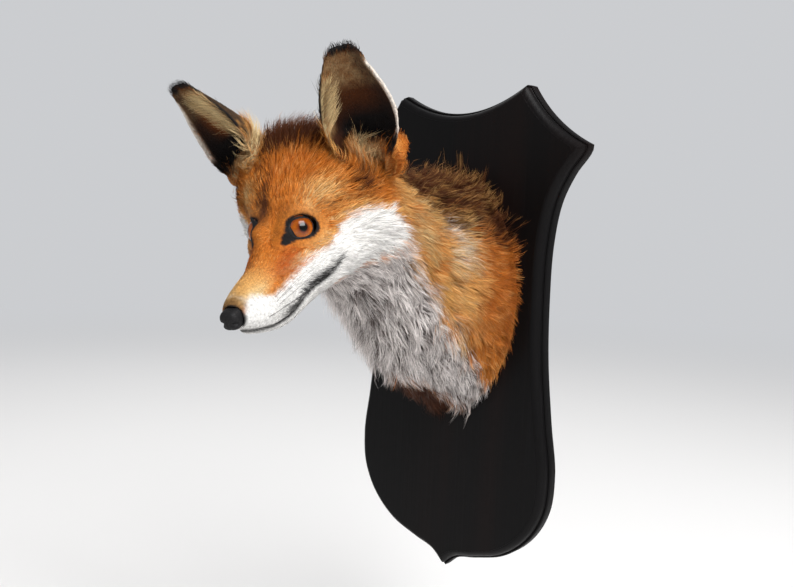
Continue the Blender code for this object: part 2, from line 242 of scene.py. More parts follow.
class EarPlace:
    """Where points lie on one ear: how far up it, across it, and on which side of its wall."""

    def __init__(self, head_points, root, tip, facing, midline, lean):
        root, tip, facing = (np.array(v, float) for v in (root, tip, facing))
        self.axis = tip - root
        length = np.linalg.norm(self.axis)
        self.axis /= length
        self.facing = unit(facing - self.axis * (facing @ self.axis))
        self.inward = np.cross(self.facing, self.axis) * midline
        away = head_points - root
        self.up = away @ self.axis / length
        arc, turn, back, shift = read(EAR_CUP, self.up)
        turn = np.radians(turn)
        radius = arc / turn
        x, y = away @ self.inward, away @ self.facing - (radius - back)
        out = np.hypot(x, y)
        # 1 at the edge near the midline, -1 at the other
        self.across = (np.arctan2(x, -y) - lean * shift / radius) / turn
        self.wall = out - radius  # below 0 inside the cup
        beyond = np.maximum(np.abs(self.across) - 1, 0) * arc
        self.weight = ease(-0.04, 0.10, self.up) * ease(8.0, 4.0, np.hypot(self.wall, beyond))
        outward = (x[:, None] * self.inward + y[:, None] * self.facing) / np.maximum(out, 1e-6)[:, None]
        self.toward_midline = np.cross(self.axis, outward) * -1
        self.toward_midline *= np.sign(self.toward_midline @ self.inward)[:, None]


class Place:
    """Where points lie on the fox. Everything is worked out once, from world points in millimetres."""

    def __init__(self, world):
        self.world = world
        self.head = (world - NOSE_TIP) @ HEAD_AXES
        self.side = both_sides(self.head)
        y, z = self.side.T[1:]
        top, foot = read(NECK, world[:, 1])[1:]
        self.low = (top - world[:, 2]) / (top - foot)  # 0 along the nape, 1 under the chest
        self.body = ease(116, 152, y + 0.6 * np.maximum(0, -z - 15))
        self.ears = [EarPlace(self.head, *ear) for ear in EARS]
        weights = [ear.weight for ear in self.ears]
        self.ear, self.ear_side = np.max(weights, axis=0), np.argmax(weights, axis=0)
        self.ear_up, self.ear_across, self.ear_wall = (self.on_ear(name) for name in ("up", "across", "wall"))
        self.on_head = (1 - self.body) * (1 - self.ear)
        self.on_body = self.body * (1 - self.ear)
        self.lip = z - read(MOUTH, y)[0]  # above the mouth line
        self.mouth = ease(3, 7, y) * ease(89, 84, y)
        eye = self.side - np.array(EYE)
        self.eye = np.linalg.norm(eye, axis=1)
        on_left = self.head[:, 0] > 0
        tail, up, ahead = (np.where(on_left, eye @ left, (eye * (-1, 1, 1)) @ right)
                           for left, right in zip(eye_axes(1), eye_axes(-1)))
        self.eye_out = np.hypot(tail, up)  # from the line of the gaze
        round_eye = np.degrees(np.arctan2(up, tail))
        self.opening, self.lids = read_round(OPENING, round_eye), read_round(LIDS, round_eye)
        self.eye_front = ease(-9, -5, ahead)
        self.wobble, self.fine_wobble = ripple(world, 14, 0.4), ripple(world, 5.5, 2.2)

    def on_ear(self, name):
        """One of the ears' numbers, for whichever ear each point is nearer."""
        values = np.array([getattr(ear, name) for ear in self.ears])
        return values[self.ear_side, np.arange(len(self.world))]

    def spots(self, table):
        """The sum of a table's spots: whose points, centre, reach along each axis, and weight."""
        return sum(weight * spot(getattr(self, owner), centre, reach)
                   for owner, centre, reach, weight in table)


# ---- markings: the weight of each colour at a place ----
# spots on the face. "side" spots are on both sides, "head" spots on one
#              whose points, centre, reach along each axis, weight
GOLD_AND_HIGHLIGHT_SPOTS = (("side", (30, 80, 8), (14, 14, 5), 0.45),  # behind the eye
              ("side", (27, 93, 34), (15, 13, 10), 0.80),  # above it: paler brow hair with a painted highlight
              # toward the ear: more of the brow's painted highlight
              ("side", (42, 98, 18), (16, 16, 9), 0.45))
CREAM_AND_HIGHLIGHT_SPOTS = (("side", (11, 22, 4), (7, 10, 3.5), 0.75),  # over the lip
               ("side", (24, 66, 4), (12, 22, 3.5), 0.35),  # under the eye
               # over the brow: paler hair with a painted highlight
               ("side", (28, 92, 33), (13, 11, 8), 0.42))
RUST_SPOTS = (("side", (13.5, 52, 4.5), (8.5, 13, 7.5), 0.95),  # the dark red before the eye
              ("side", (12, 64, 10), (6, 8, 7), 0.45),
              ("side", (0, 100, 50), (30, 22, 22), 0.35),
              ("side", (30, 84, 4), (12, 9, 4), 0.30))
BROWN_AND_SHADE_SPOTS = (("side", (4, 122, 62), (34, 15, 13), 1.25),  # the crown
               ("head", (-9, 82, 32), (4.5, 20, 14), 0.55),  # the dark streak up the forehead, on the right only: painted shade on the side away from the light
               ("side", (7, 78, 28), (6, 9, 6), 0.35),
               ("side", (0, 11, 6), (10, 7, 7), 0.55),  # above the nose pad
               # the right side of the muzzle: painted shade
               ("head", (-7, 45, 10), (5, 28, 8), 0.42),
               ("side", (33, 93, 25), (11, 9, 3), 0.55),
               ("side", (47, 111, 30), (9, 11, 11), 0.85),  # the temple
               # the right forehead: painted shade
               ("head", (-18, 96, 40), (15, 28, 22), 0.38))
# the temple's brown and the right forehead's painted shade, broken up unevenly
WAVERING_BROWN_AND_SHADE = (("side", (47, 111, 30), (9, 11, 11), 0.40), ("head", (-18, 96, 40), (15, 28, 22), 0.30))
# the line up to which the neck is silver: Y, and Z on the neck's sides
CHEST_LINE = ((-165, 70), (-143, 74), (-121, 60), (-103, 39), (-81, 17), (-63, -5), (-40, -20), (-21, -38))
EAR_SHADED_HOLLOW = ("side", (45, 137, 53), (12, 13, 11), 1.25)
EAR_FAN = ("side", (47, 128, 41), (10, 8, 9), 1.5)


def ear_base(place):
    """The dark recess in front of each ear's cup, its dark painted as shade, and the fan of long pale hair at
    its foot.
    """
    shaded_hollow = np.minimum(place.spots([EAR_SHADED_HOLLOW]), 1) * ease(2.5, -0.5, place.ear_wall)
    fan = np.minimum(place.spots([EAR_FAN]), 1) * (1 - place.ear)
    return shaded_hollow, fan


def white_border(place):
    """The top and the foot of the white on lips and cheeks, and how far its edge wanders."""
    y = place.side[:, 1]
    ragged = place.wobble * 1.2 + place.fine_wobble * (0.6 + 1.4 * ease(70, 110, y))
    return read(WHITE_TOP, y)[0], read(WHITE_FOOT, y)[0], ragged


def face_marks(place):
    """The face's gold, rust, brown, cream and white, with painted highlights over the brows and painted shade
    on the right side of the face.
    """
    x, y, z = place.side.T
    top, foot, ragged = white_border(place)
    soft = 2.5 + 2.5 * ease(30, 60, y)
    edge = np.exp(-((z - top - soft * 0.5 - ragged) / (soft * 0.6)) ** 2) * ease(8, 16, y) * ease(140, 120, y)
    muzzle_top = ease(56, 24, y) * ease(-2, 5, z) * ease(17, 12, x)
    gold = place.spots(GOLD_AND_HIGHLIGHT_SPOTS) + 0.85 * muzzle_top + 0.385 * edge
    gold += 0.5 * ease(95, 125, y) * ease(20, 5, z)
    cream = place.spots(CREAM_AND_HIGHLIGHT_SPOTS) + 0.14 * edge
    # brown: the crown, temples and nose, and painted shade on the right side of the face
    brown = place.spots(BROWN_AND_SHADE_SPOTS) + place.fine_wobble * place.spots(WAVERING_BROWN_AND_SHADE)
    white = ease(-soft, soft, top - z + ragged) * ease(-5, 5, z - foot + 2 * ragged)
    white *= ease(138, 124, y) * ease(4, 7, y)
    marks = {"gold": gold, "rust": place.spots(RUST_SPOTS), "brown": brown, "cream": cream}
    marks = {name: weight * place.on_head for name, weight in marks.items()}
    return marks | {"white": white * (1 - place.ear)}


def mark_neck(marks, place):
    """Silver throat and chest, brown nape, orange sides with pale and dark streaks, painted grey shade on the
    cheeks' white, and brown under the chest by the plaque that is partly painted shade.
    """
    y, z = place.side.T[1:]
    wx, wy, wz = place.world.T
    low, body, wobble = place.low, place.on_body, place.wobble
    across = both_sides(place.world)
    foot, ragged = white_border(place)[1:]
    line = read(CHEST_LINE, wy)[0] + 26 * ease(55, 20, np.abs(wx)) + 9 * wobble + 5 * place.fine_wobble
    under_cheek = ease(3, -4, z - foot + ragged) * ease(82, 92, y)
    chin = 0.8 * ease(-27, -31, z) * ease(66, 84, y)
    throat = np.maximum(under_cheek, chin) * (1 - place.body)
    marks["silver"] = np.clip(ease(13, -9, wz - line) * place.body + throat, 0, 1) * (1 - place.ear)
    nape = body * ease(0.38, 0.12, low + 0.07 * wobble) * ease(-150, -108, wy)
    near_wall = body * ease(-92, -46, wy + 14 * wobble) * ease(0.10, 0.24, low)
    flank = body * ease(0.12, 0.30, low) * ease(-48, -70, wy + 6 * wobble)
    pale = body * spot(across, (57, -76, 73), (40, 15, 14))
    dark = body * spot(across, (56, -84, 90), (40, 12, 9))
    marks["rust"] += 0.42 * near_wall * ease(0.85, 0.60, low)
    marks["gold"] += near_wall * (0.18 * ease(0.30, 0.55, low) + 0.14) + 0.6 * nape
    marks["gold"] += flank * (0.66 + 0.3 * ripple(place.world, 30, 0.9))
    clouds = np.clip(0.18 + 0.35 * ripple(place.world, 24, 1.9), 0, 0.5)
    marks["cream"] += flank * clouds * ease(0.95, 0.6, low) + 0.50 * pale
    marks["cream"] += 0.40 * body * spot(across, (55, -122, 92), (40, 22, 24))
    marks["silver"] = np.maximum(marks["silver"], 0.45 * pale + 0.35 * dark)
    # painted shade: grey on the white of each cheek below the ear
    marks["silver"] += 0.35 * spot(place.side, (50, 119, -4), (9, 10, 7)) * (1 - place.ear)
    marks["black"] = 0.50 * marks["silver"] * np.clip(ripple(place.world, 27, 3.1), 0, 1) * body
    marks["brown"] += 0.95 * nape + 0.55 * dark + 0.5 * body * ease(0.40, 0.25, low) * ease(-60, -36, wy)
    marks["white"] += 0.45 * body * spot(across, (54, -80, 12), (40, 20, 15))
    # brown under the chest by the plaque: partly the hair's colour, partly painted shade
    under_chest_brown_and_shade = body * ease(26, 6, wx) * ease(-88, -64, wy) * ease(0.66, 0.82, low)
    foot_right = body * spot(place.world, (34, -22, -52), (22, 22, 12))
    marks["silver"] *= 1 - 0.85 * under_chest_brown_and_shade - 0.40 * foot_right
    marks["brown"] += 0.95 * under_chest_brown_and_shade + 0.30 * foot_right
    marks["gold"] = marks["gold"] * (1 - 0.8 * under_chest_brown_and_shade) + 0.35 * foot_right


def mark_ears(marks, place):
    """Black tips and backs, cream hair along the midline edge, a dark cup painted darker toward its bottom as
    shade, painted shade in the recess before it, and a pale bare outer rim painted as a highlight.
    """
    up, across, ear = place.ear_up, place.ear_across, place.ear
    inside = ease(0.6, -0.6, place.ear_wall)
    shaded_hollow, fan = ear_base(place)
    uneven = 0.10 * ripple(place.world, 9, 1.1)
    column = inside * ear_fringe(place, 0.3 * uneven)
    # the outer rim: white and cream painted as the highlight where light catches the ear's edge
    rim = ease(-0.82, -0.94, across) * ease(0.88, 0.80, up) * ease(0.14, 0.24, up)
    haze = inside * ease(0.50, 0.66, up) * ease(0.98, 0.90, up)
    cup = ear * inside * (1 - column) * (1 - rim)
    red_cup = cup * place.ear_side * ease(-0.75, -0.3, across) * ease(0.12, 0.35, up) * ease(0.80, 0.55, up)
    strips = np.clip(column + rim * 0.6, 0, 1)
    marks["cream"] += ear * (strips + 0.42 * haze * (0.6 + 4 * uneven)) + 0.85 * fan
    marks["white"] += ear * rim * 0.7
    marks["brown"] += cup * (0.95 - 0.15 * haze) + 0.6 * shaded_hollow * (1 - fan) - 0.55 * red_cup
    marks["rust"] += 0.75 * red_cup
    marks["gold"] += ear * (1 - inside) * 0.6
    # painted shade: black toward the bottom of the cup and along its far wall
    depth = ease(0.50, 0.05, up) * ease(0.65, 0.35, across)
    painted_deep_shade = cup * np.clip(0.85 * depth + 0.65 * ease(0.0, -0.7, across), 0, 0.92) * (1 - 0.7 * red_cup)
    back = (1 - inside) * ease(0.16, 0.52, up + 1.6 * uneven) * (1 - rim)
    tip = ease(0.86, 0.93, up + 0.5 * uneven - 0.05 * inside)
    edge_line = ease(0.93, 0.98, across) * ease(0.3, 0.5, up)
    marks["black"] += (painted_deep_shade + 0.95 * shaded_hollow * (1 - fan)
                       + ear * np.clip(tip + 0.92 * back + 0.8 * edge_line, 0, 1))


def mark_black(marks, place):
    """The lips and the dark streaks over them, the lids, and the skin round the nose."""
    y, z = place.side.T[1:]
    on_mouth = place.mouth * place.on_head
    lips = on_mouth * np.exp(-((place.lip - 0.4) / 1.4) ** 2)
    streaks = on_mouth * ease(22, 44, y) * np.exp(-((place.lip - 4.6 + 1.9 * place.fine_wobble) / 3.6) ** 2)
    past_lids = place.eye_out - place.lids + 0.5 * place.fine_wobble
    lids = place.on_head * place.eye_front * ease(0.9, -0.4, past_lids)
    from_nose = y + 0.35 * np.maximum(0, -z - 4)
    nose = ease(9.5, 7.5, from_nose) + 0.45 * ease(17, 8.5, from_nose) * ease(-3, 3, z)
    marks["black"] += np.clip(lips + 0.88 * streaks + lids + nose, 0, 1) * (1 - place.ear)


def markings(place):
    """The weight of each colour over the orange ground, as a dictionary of arrays."""
    marks = face_marks(place)
    for add in (mark_neck, mark_ears, mark_black):
        add(marks, place)
    return {name: np.clip(weight, 0, 1) for name, weight in marks.items()}


# ---- how the coat lies ----
def head_vectors(vectors):
    """Head directions as world directions."""
    return vectors @ HEAD_AXES.T


def wall_share(place):
    """1 where the neck meets the plaque, fading out over the last stretch."""
    return ease(-44, -24, place.world[:, 1]) * place.body


def outward(place):
    """The way out from the neck's middle, level with the plaque."""
    middle, top, foot = read(NECK, place.world[:, 1])
    return unit(np.stack([place.world[:, 0] - middle, 0 * middle, place.world[:, 2] - (top + foot) / 2], 1))


def lie_on_head(place):
    """Back along the head, out over the cheeks, away from each eye, and up in the fan at the ear's foot."""
    x, y, z = place.head.T
    out = 0.10 + 0.45 * ease(68, 92, y) * ease(6, 30, np.abs(x))
    drop = 0.30 * ease(2, -12, z) + 0.25 * ease(85, 115, y) * ease(20, -10, z)
    rise = 0.25 * ease(60, 85, y) * ease(15, 35, z)
    lie = np.stack([np.tanh(x / 6) * out, np.ones_like(x), rise - drop], 1)
    round_eye = place.side - np.array(EYE)
    round_eye[:, 0] *= np.sign(x)
    lie += unit(round_eye) * (1.3 * ease(9, 2, place.eye_out - place.lids) * place.eye_front)[:, None]
    fan = ear_base(place)[1][:, None]
    lean = np.stack([-0.50 * np.sign(x), -0.10 + 0 * x, 1.0 + 0 * x], 1)
    return unit(head_vectors(unit(lie) * (1 - fan) + 2.0 * lean * fan))


def lie_on_body(place):
    """Back along the neck, more and more downward toward the chest, uneven, and out at the plaque."""
    low = place.low
    down = 0.06 + 1.05 * ease(0.2, 0.85, low)
    back = 1 - 0.55 * ease(0.45, 0.95, low)
    woolly = 1 + 0.8 * ease(0.5, 0.75, low)
    sway = 0.28 * woolly * (ripple(place.world, 40, 2.1) + ripple(place.world, 15, 0.7))
    ruffle = ease(0.34, 0.16, low)
    fall = (0.3 + ruffle) * sway - down * (1 - ruffle)
    lie = np.stack([0.10 * np.sign(place.world[:, 0]) + sway, back, fall], 1)
    return unit(unit(lie) + outward(place) * (0.7 * wall_share(place))[:, None])


def lie_of_coat(place, normals):
    """The way the hair points along the skin, as world directions of length 1."""
    share = place.body[:, None]
    coat = lie_on_head(place) * (1 - share) + lie_on_body(place) * share
    pick = place.ear_side, np.arange(len(place.ear))
    upward = head_vectors(np.array([ear.axis for ear in place.ears])[place.ear_side])
    midline = head_vectors(np.array([ear.toward_midline for ear in place.ears])[pick])
    long_hair = ear_hair(place)[:, None]
    at_root = ease(0.35, 0.05, place.ear_up)[:, None]
    ear = upward * (1 - 1.5 * long_hair * at_root) - midline * 0.70 * long_hair
    foot = ear_foot(place)[:, None]
    ear = unit(unit(ear) * (1 - foot) + unit(coat) * foot)
    share = place.ear[:, None]
    return along_surface(coat * (1 - share) + ear * share, normals)


def ear_fringe(place, uneven=0.0):
    """The strip of long pale hair along each cup's edge near the midline. It is wider in the right ear."""
    right = place.ear_side
    up, across = place.ear_up, place.ear_across + uneven
    start, foot = 0.50 - 0.85 * right, 0.17 - 0.12 * right
    height = ease(0.80, 0.58, up + uneven - 0.1 * right) * ease(foot, foot + 0.14, up)
    return ease(start, start + 0.22, across) * height


def ear_foot(place):
    """The lower part of the ears' outer side, where the head's coat runs up on them."""
    return ease(-0.3, 0.5, place.ear_wall) * ease(0.40, 0.14, place.ear_up)


def ear_hair(place):
    """Where the long hair grows in the ears."""
    return place.ear * ease(0.8, -0.4, place.ear_wall) * ear_fringe(place)


# the hair's length in millimetres and its lift in degrees, by how far back along the head it grows
HEAD_LENGTH = ((0, 0.8), (8, 1.6), (14, 2.6), (30, 3.8), (60, 5.0), (80, 6.0), (95, 8.0), (115, 11),
               (135, 15), (160, 19))
HEAD_LIFT = ((0, 7), (30, 8), (70, 10), (100, 14), (130, 20))
# where the hair is longer (+), shorter (-) or stands up, as whose points, centre, reach and how much
CROWN = ("side", (6, 124, 62), (26, 12, 14), 1.0)
CHEEK_RUFF = ("side", (54, 120, -12), (18, 18, 16), 1.0)
BEFORE_EAR = ("side", (38, 121, 53), (11, 9, 8), 1.0)
BEHIND_EAR = ("side", (60, 138, 30), (12, 12, 14), 7.0)
FAR_BROW = ("head", (-33, 94, 20), (10, 12, 14), 0.6)
# longer locks at the foot of the neck by the plaque, and shorter ones under its middle
NECK_LOCKS = (("world", (58, -22, -38), (13, 18, 15), 28), ("world", (27, -26, -60), (11, 20, 16), 30),
              ("world", (8, -50, -55), (12, 30, 20), -6), ("world", (-8, -38, -60), (14, 20, 16), 20))


def blend(place, head, body, ear):
    """One number from those of the head, the body and the ears."""
    return (head * (1 - place.body) + body * place.body) * (1 - place.ear) + ear * place.ear


def hair_length(place):
    low, wy = place.low, place.world[:, 1]
    shaded_hollow, fan = ear_base(place)
    head = read(HEAD_LENGTH, place.head[:, 1])[0]
    head *= 1 - 0.72 * ease(7, 0.5, place.eye_out - place.lids) * place.eye_front
    head += 6 * place.spots([CROWN]) + 9 * place.spots([CHEEK_RUFF])
    head *= 1 - 0.35 * ease(5, 1, np.abs(place.lip)) * place.mouth
    head *= 1 - 0.80 * np.maximum(shaded_hollow, place.spots([BEFORE_EAR])) * (1 - fan)
    head = (head + 19 * fan + place.spots([BEHIND_EAR])) * (1 - place.spots([FAR_BROW]))
    body = 20 + 4 * ease(0.30, 0.05, low) * ease(-100, -70, wy) - 8 * ease(-60, -20, wy) * ease(0.2, 0.4, low)
    body += 4 * ease(0.55, 0.85, low) * ease(-60, -90, wy) + place.spots(NECK_LOCKS)
    ear = 3.0 + 12 * ear_hair(place) + 2.2 * ease(0.82, 0.95, place.ear_up) + ease(0.3, -0.3, place.ear_wall)
    return blend(place, head, body, ear + 11 * ear_foot(place))


def hair_lift(place):
    """How far the hair stands off the skin at its root, in radians."""
    low = place.low
    head = read(HEAD_LIFT, place.head[:, 1])[0]
    head += 32 * place.spots([CROWN]) + 8 * place.spots([CHEEK_RUFF]) + 40 * ear_base(place)[1]
    body = 16 + 21 * ease(0.30, 0.08, low) * ease(-100, -70, place.world[:, 1]) + 8 * ease(0.5, 0.75, low)
    ear = 10 + 16 * ear_hair(place) + 16 * ease(0.86, 0.96, place.ear_up) + 12 * ear_foot(place)
    return np.radians(blend(place, head, body, ear))


def coat_depth(place):
    """How far the skin lies under the tips of the coat, in millimetres."""
    from_eye = ease(EYE_RADIUS - 0.5, EYE_RADIUS + 7, place.eye)
    head = 0.25 + 0.17 * hair_length(place)
    body = 8.5 + 5.0 * ease(0.32, 0.08, place.low) + 2.0 * ease(0.7, 1.0, place.low)
    return blend(place, head * from_eye, body * from_eye, 0.65 + 3.4 * ear_foot(place))


# ---- meshes ----
def show(obj, material, slot, *nodes):
    """Link a finished piece, give it its finish, attach it to the body it rides on, and hide the parts it
    stands for.
    """
    bpy.context.scene.collection.objects.link(obj)
    obj.data.materials.append(material)
    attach(obj, BODY)
    if nodes:
        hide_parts(*nodes)


def finished(name, shape, sharp=180):
    """A new smooth object from a bmesh in world millimetres, with edges over `sharp` degrees kept."""
    bmesh.ops.scale(shape, vec=(MM, MM, MM), verts=shape.verts)
    mesh = bpy.data.meshes.new(name)
    shape.to_mesh(mesh)
    shape.free()
    mesh.shade_smooth()
    mesh.set_sharp_from_angle(angle=math.radians(sharp))
    return bpy.data.objects.new(name, mesh)


def finished_on_head(name, shape):
    """A new smooth object from a bmesh in the head's own frame."""
    matrix = Matrix.Translation(Vector(NOSE_TIP)) @ HEAD_TURN.to_4x4()
    bmesh.ops.transform(shape, matrix=matrix, verts=shape.verts)
    return finished(name, shape)


def ring_of(shape, points):
    """A closed loop of edges."""
    verts = [shape.verts.new(point) for point in points]
    return [shape.edges.new((a, b)) for a, b in zip(verts, verts[1:] + verts[:1])]


def loft(shape, rings, around=False):
    """Skin a run of rings of equally many points, and close its ends or run it around to its start."""
    loops = [ring_of(shape, ring) for ring in rings]
    for a, b in zip(loops, loops[1:] + loops[:around]):
        bmesh.ops.bridge_loops(shape, edges=a + b)
    if not around:
        for loop in (loops[0], loops[-1]):
            bmesh.ops.edgenet_fill(shape, edges=loop)
    bmesh.ops.recalc_face_normals(shape, faces=shape.faces)


def vertex_array(mesh, what="co"):
    values = np.empty(len(mesh.vertices) * 3)
    mesh.vertices.foreach_get(what, values)
    return values.reshape(-1, 3)


def set_attribute(mesh, name, values):
    """A number or a vector for each vertex, for the materials to read."""
    kind = "FLOAT" if values.ndim == 1 else "FLOAT_VECTOR"
    layer = mesh.attributes.new(name, kind, "POINT")
    layer.data.foreach_set("value" if values.ndim == 1 else "vector", values.astype(np.float32).ravel())


def set_marks(mesh, marks, lock):
    """Store the colours' weights, and how each vertex lies on its lock: along it, and its own chance."""
    set_attribute(mesh, "marks_a", np.stack([marks["gold"], marks["rust"], marks["brown"]], 1))
    set_attribute(mesh, "marks_b", np.stack([marks["cream"], marks["white"], marks["silver"]], 1))
    set_attribute(mesh, "lock", np.stack([lock[0], lock[1], marks["black"]], 1))


# ---- shader maths ----
class Value:
    """A number, colour or vector in a material, with Python's operators for its maths."""

    def __init__(self, tree, socket):
        self.tree, self.socket = tree, socket

    def math(self, operation, *others):
        node = self.tree.nodes.new("ShaderNodeMath")
        node.operation = operation
        for slot, value in zip(node.inputs, (self, *others)):
            join(self.tree, value, slot)
        return Value(self.tree, node.outputs[0])

    def __add__(self, other):
        return self.math("ADD", other)

    def __mul__(self, other):
        return self.math("MULTIPLY", other)

    def __sub__(self, other):
        return self.math("SUBTRACT", other)

    def __rsub__(self, other):
        return (self * -1.0) + other

    def __pow__(self, other):
        return self.math("POWER", other)

    __radd__, __rmul__ = __add__, __mul__


def join(tree, value, socket):
    """Link a Value to a socket, or set the socket to a plain number, colour or vector."""
    if isinstance(value, Value):
        tree.links.new(value.socket, socket)
    elif isinstance(value, (tuple, list)) and len(value) == 3 and socket.type == "RGBA":
        socket.default_value = (*value, 1.0)
    else:
        socket.default_value = value


class Finish:
    """A material under construction: a Principled shader, and the nodes that feed it."""

    def __init__(self, name, **constants):
        self.material = bpy.data.materials.new(name)
        self.material.use_nodes = True
        self.tree = self.material.node_tree
        self.shader = self.tree.nodes["Principled BSDF"]
        for socket, value in constants.items():
            join(self.tree, value, self.shader.inputs[socket.replace("_", " ")])

    def node(self, kind, settings=None, output=0, **inputs):
        """A node of any kind, with its settings made first, and its output as a Value."""
        made = self.tree.nodes.new("ShaderNode" + kind)
        for key, value in (settings or {}).items():
            setattr(made, key, value)
        for socket, value in inputs.items():
            join(self.tree, value, made.inputs[socket.replace("_", " ")])
        return Value(self.tree, made.outputs[output])

    def place(self):
        return self.node("TexCoord", output="Object")

    def stored(self, name):
        """The three numbers of a stored vector."""
        vector = self.node("Attribute", {"attribute_name": name}, output="Vector")
        made = self.tree.nodes.new("ShaderNodeSeparateXYZ")
        join(self.tree, vector, made.inputs[0])
        return [Value(self.tree, socket) for socket in made.outputs]

    def mix(self, factor, first, second, blend="MIX"):
        """Two colours mixed."""
        made = self.tree.nodes.new("ShaderNodeMix")
        made.data_type = "RGBA"
        made.blend_type = blend
        made.clamp_factor = True
        join(self.tree, factor, made.inputs["Factor"])
        sockets = [socket for socket in made.inputs if socket.type == "RGBA"]
        join(self.tree, first, sockets[0])
        join(self.tree, second, sockets[1])
        return Value(self.tree, [socket for socket in made.outputs if socket.type == "RGBA"][0])

    def ramp(self, factor, low, high):
        """A number eased from 0 at low to 1 at high."""
        return self.node("MapRange", {"interpolation_type": "SMOOTHSTEP"}, Value=factor,
                         From_Min=low, From_Max=high)

    def noise(self, where, scale, detail=2.0, stretch=None):
        if stretch:
            where = self.node("Mapping", Vector=where, Scale=stretch)
        return self.node("TexNoise", Vector=where, Scale=scale, Detail=detail)

    def feed(self, socket, value):
        join(self.tree, value, self.shader.inputs[socket])

    def relief(self, height, distance, strength=1.0):
        self.feed("Normal", self.node("Bump", Height=height, Distance=distance, Strength=strength))


# ---- finishes ----
ROOT_SHADE = (0.55, 0.42, 0.34)  # the roots of coloured hair, against its tips: painted shade low in the coat
TIP_TINT = (0.90, 0.56, 0.20)
GREY_HAIR = (0.42, 0.40, 0.39)


def marked_colour(finish, hair):
    """The coat's colour from the stored marks. On hair it changes from root to tip, with painted shade at the
    roots, and from lock to lock.
    """
    tints = bpy.context.scene.fox_coat
    gold, rust, brown = finish.stored("marks_a")
    cream, white, silver = finish.stored("marks_b")
    along, chance, black = finish.stored("lock")
    mottle = finish.noise(finish.place(), 130.0, 3.0)
    colour = finish.mix(finish.ramp(mottle, 0.40, 0.75) * 0.35, tuple(tints.orange), tuple(tints.rust))
    colour = finish.mix(gold, colour, tuple(tints.gold))
    colour = finish.mix(rust, colour, tuple(tints.rust))
    if hair:
        bright = finish.ramp(chance, 0.55, 0.98) * finish.ramp(along, 0.2, 0.9)
        colour = finish.mix(bright * 0.50, colour, TIP_TINT)
        colour = finish.mix(finish.ramp(chance, 0.18, 0.04) * 0.45, colour, tuple(tints.brown))
        brown = brown * (1.0 - finish.ramp(along, 0.40, 0.95) * gold * finish.ramp(chance, 0.30, 0.75) * 0.85)
    colour = finish.mix(brown, colour, tuple(tints.brown))
    colour = finish.mix(cream, colour, tuple(tints.cream))
    pale = tuple(tints.white)
    if hair:
        # painted shade: the roots of the hair darkened, standing in for shade among the locks
        painted_deep_shade = finish.mix(1.0, colour, ROOT_SHADE, "MULTIPLY")
        colour = finish.mix(finish.ramp(along, -0.1, 0.6), painted_deep_shade, colour)
        frost = finish.ramp(along + (chance - 0.5) * 0.5, 0.05, 0.75) * finish.ramp(chance, 0.02, 0.25)
        chest = finish.mix(frost, tuple(tints.slate), tuple(tints.silver))
        pale = finish.mix(finish.ramp(chance, 0.25, 0.05) * 0.4, pale, GREY_HAIR)
    else:
        chest = tuple(0.5 * a + 0.16 * b for a, b in zip(tints.slate, tints.silver))
    colour = finish.mix(white, colour, pale)
    colour = finish.mix(silver, colour, chest)
    return finish.mix(black, colour, tuple(tints.black))


def shaded(finish, colour, shade):
    """A colour made lighter or darker by a number."""
    return finish.mix(1.0, colour, finish.node("CombineXYZ", X=shade, Y=shade, Z=shade), "MULTIPLY")


def coat_finish():
    """Hair: every lock a little lighter or darker than the next."""
    finish = Finish("fox_coat", Roughness=0.60, Specular_IOR_Level=0.12)
    colour = marked_colour(finish, True)
    chance = finish.stored("lock")[1]
    finish.feed("Base Color", shaded(finish, colour, (chance * 7.3).math("FRACT") * 0.50 + 0.72))
    return finish.material


def skin_finish():
    """The skin under the coat, in the same colours but darker and grainy."""
    finish = Finish("fox_skin", Roughness=0.75, Specular_IOR_Level=0.12)
    colour, place = marked_colour(finish, False), finish.place()
    finish.feed("Base Color", shaded(finish, colour, finish.noise(place, 700.0, 2.0) * 0.8 + 0.20))
    finish.relief(finish.noise(place, 900.0, 3.0), 0.0008, 0.6)
    return finish.material


def glass_finish():
    """Amber glass: the stored look vector has its Z along the gaze, in eye radii. The iris's top is darkened
    as the painted shadow of the upper lid.
    """
    tints = bpy.context.scene.fox_eyes
    finish = Finish("fox_glass_eye", Roughness=0.12, Specular_IOR_Level=0.12, Coat_Weight=0.5,
                    Coat_Roughness=0.02)
    look = finish.node("Attribute", {"attribute_name": "look"}, output="Vector")
    x, y = finish.stored("look")[:2]
    radius = (x * x + y * y) ** 0.5
    size = GLASS_RADIUS * MM
    iris, pupil = tints.iris / size, tints.pupil / size
    streaks = finish.noise(look, 9.0, 3.0, stretch=(1.0, 1.0, 0.1))
    body = finish.mix(finish.ramp(streaks, 0.3, 0.75) * 0.5, tuple(tints.amber),
                      tuple(c * 0.5 for c in tints.amber))
    inner = finish.ramp(radius, pupil * 2.1, pupil * 0.9)
    # the ring at the iris's rim, pushed further in at the top: painted shadow of the upper lid
    outer = finish.ramp(radius + y * 0.55, iris * 0.66, iris * 1.10)
    body = finish.mix(inner * 0.9, body, tuple(tints.ring))
    body = finish.mix(outer * 0.7, body, tuple(tints.ring))
    body = finish.mix(finish.ramp(radius, iris * 0.98, iris * 1.05), body, (0.006, 0.005, 0.005))
    body = finish.mix(finish.ramp(radius, pupil * 1.2, pupil * 0.75), body, (0.0015, 0.001, 0.001))
    finish.feed("Base Color", body)
    return finish.material


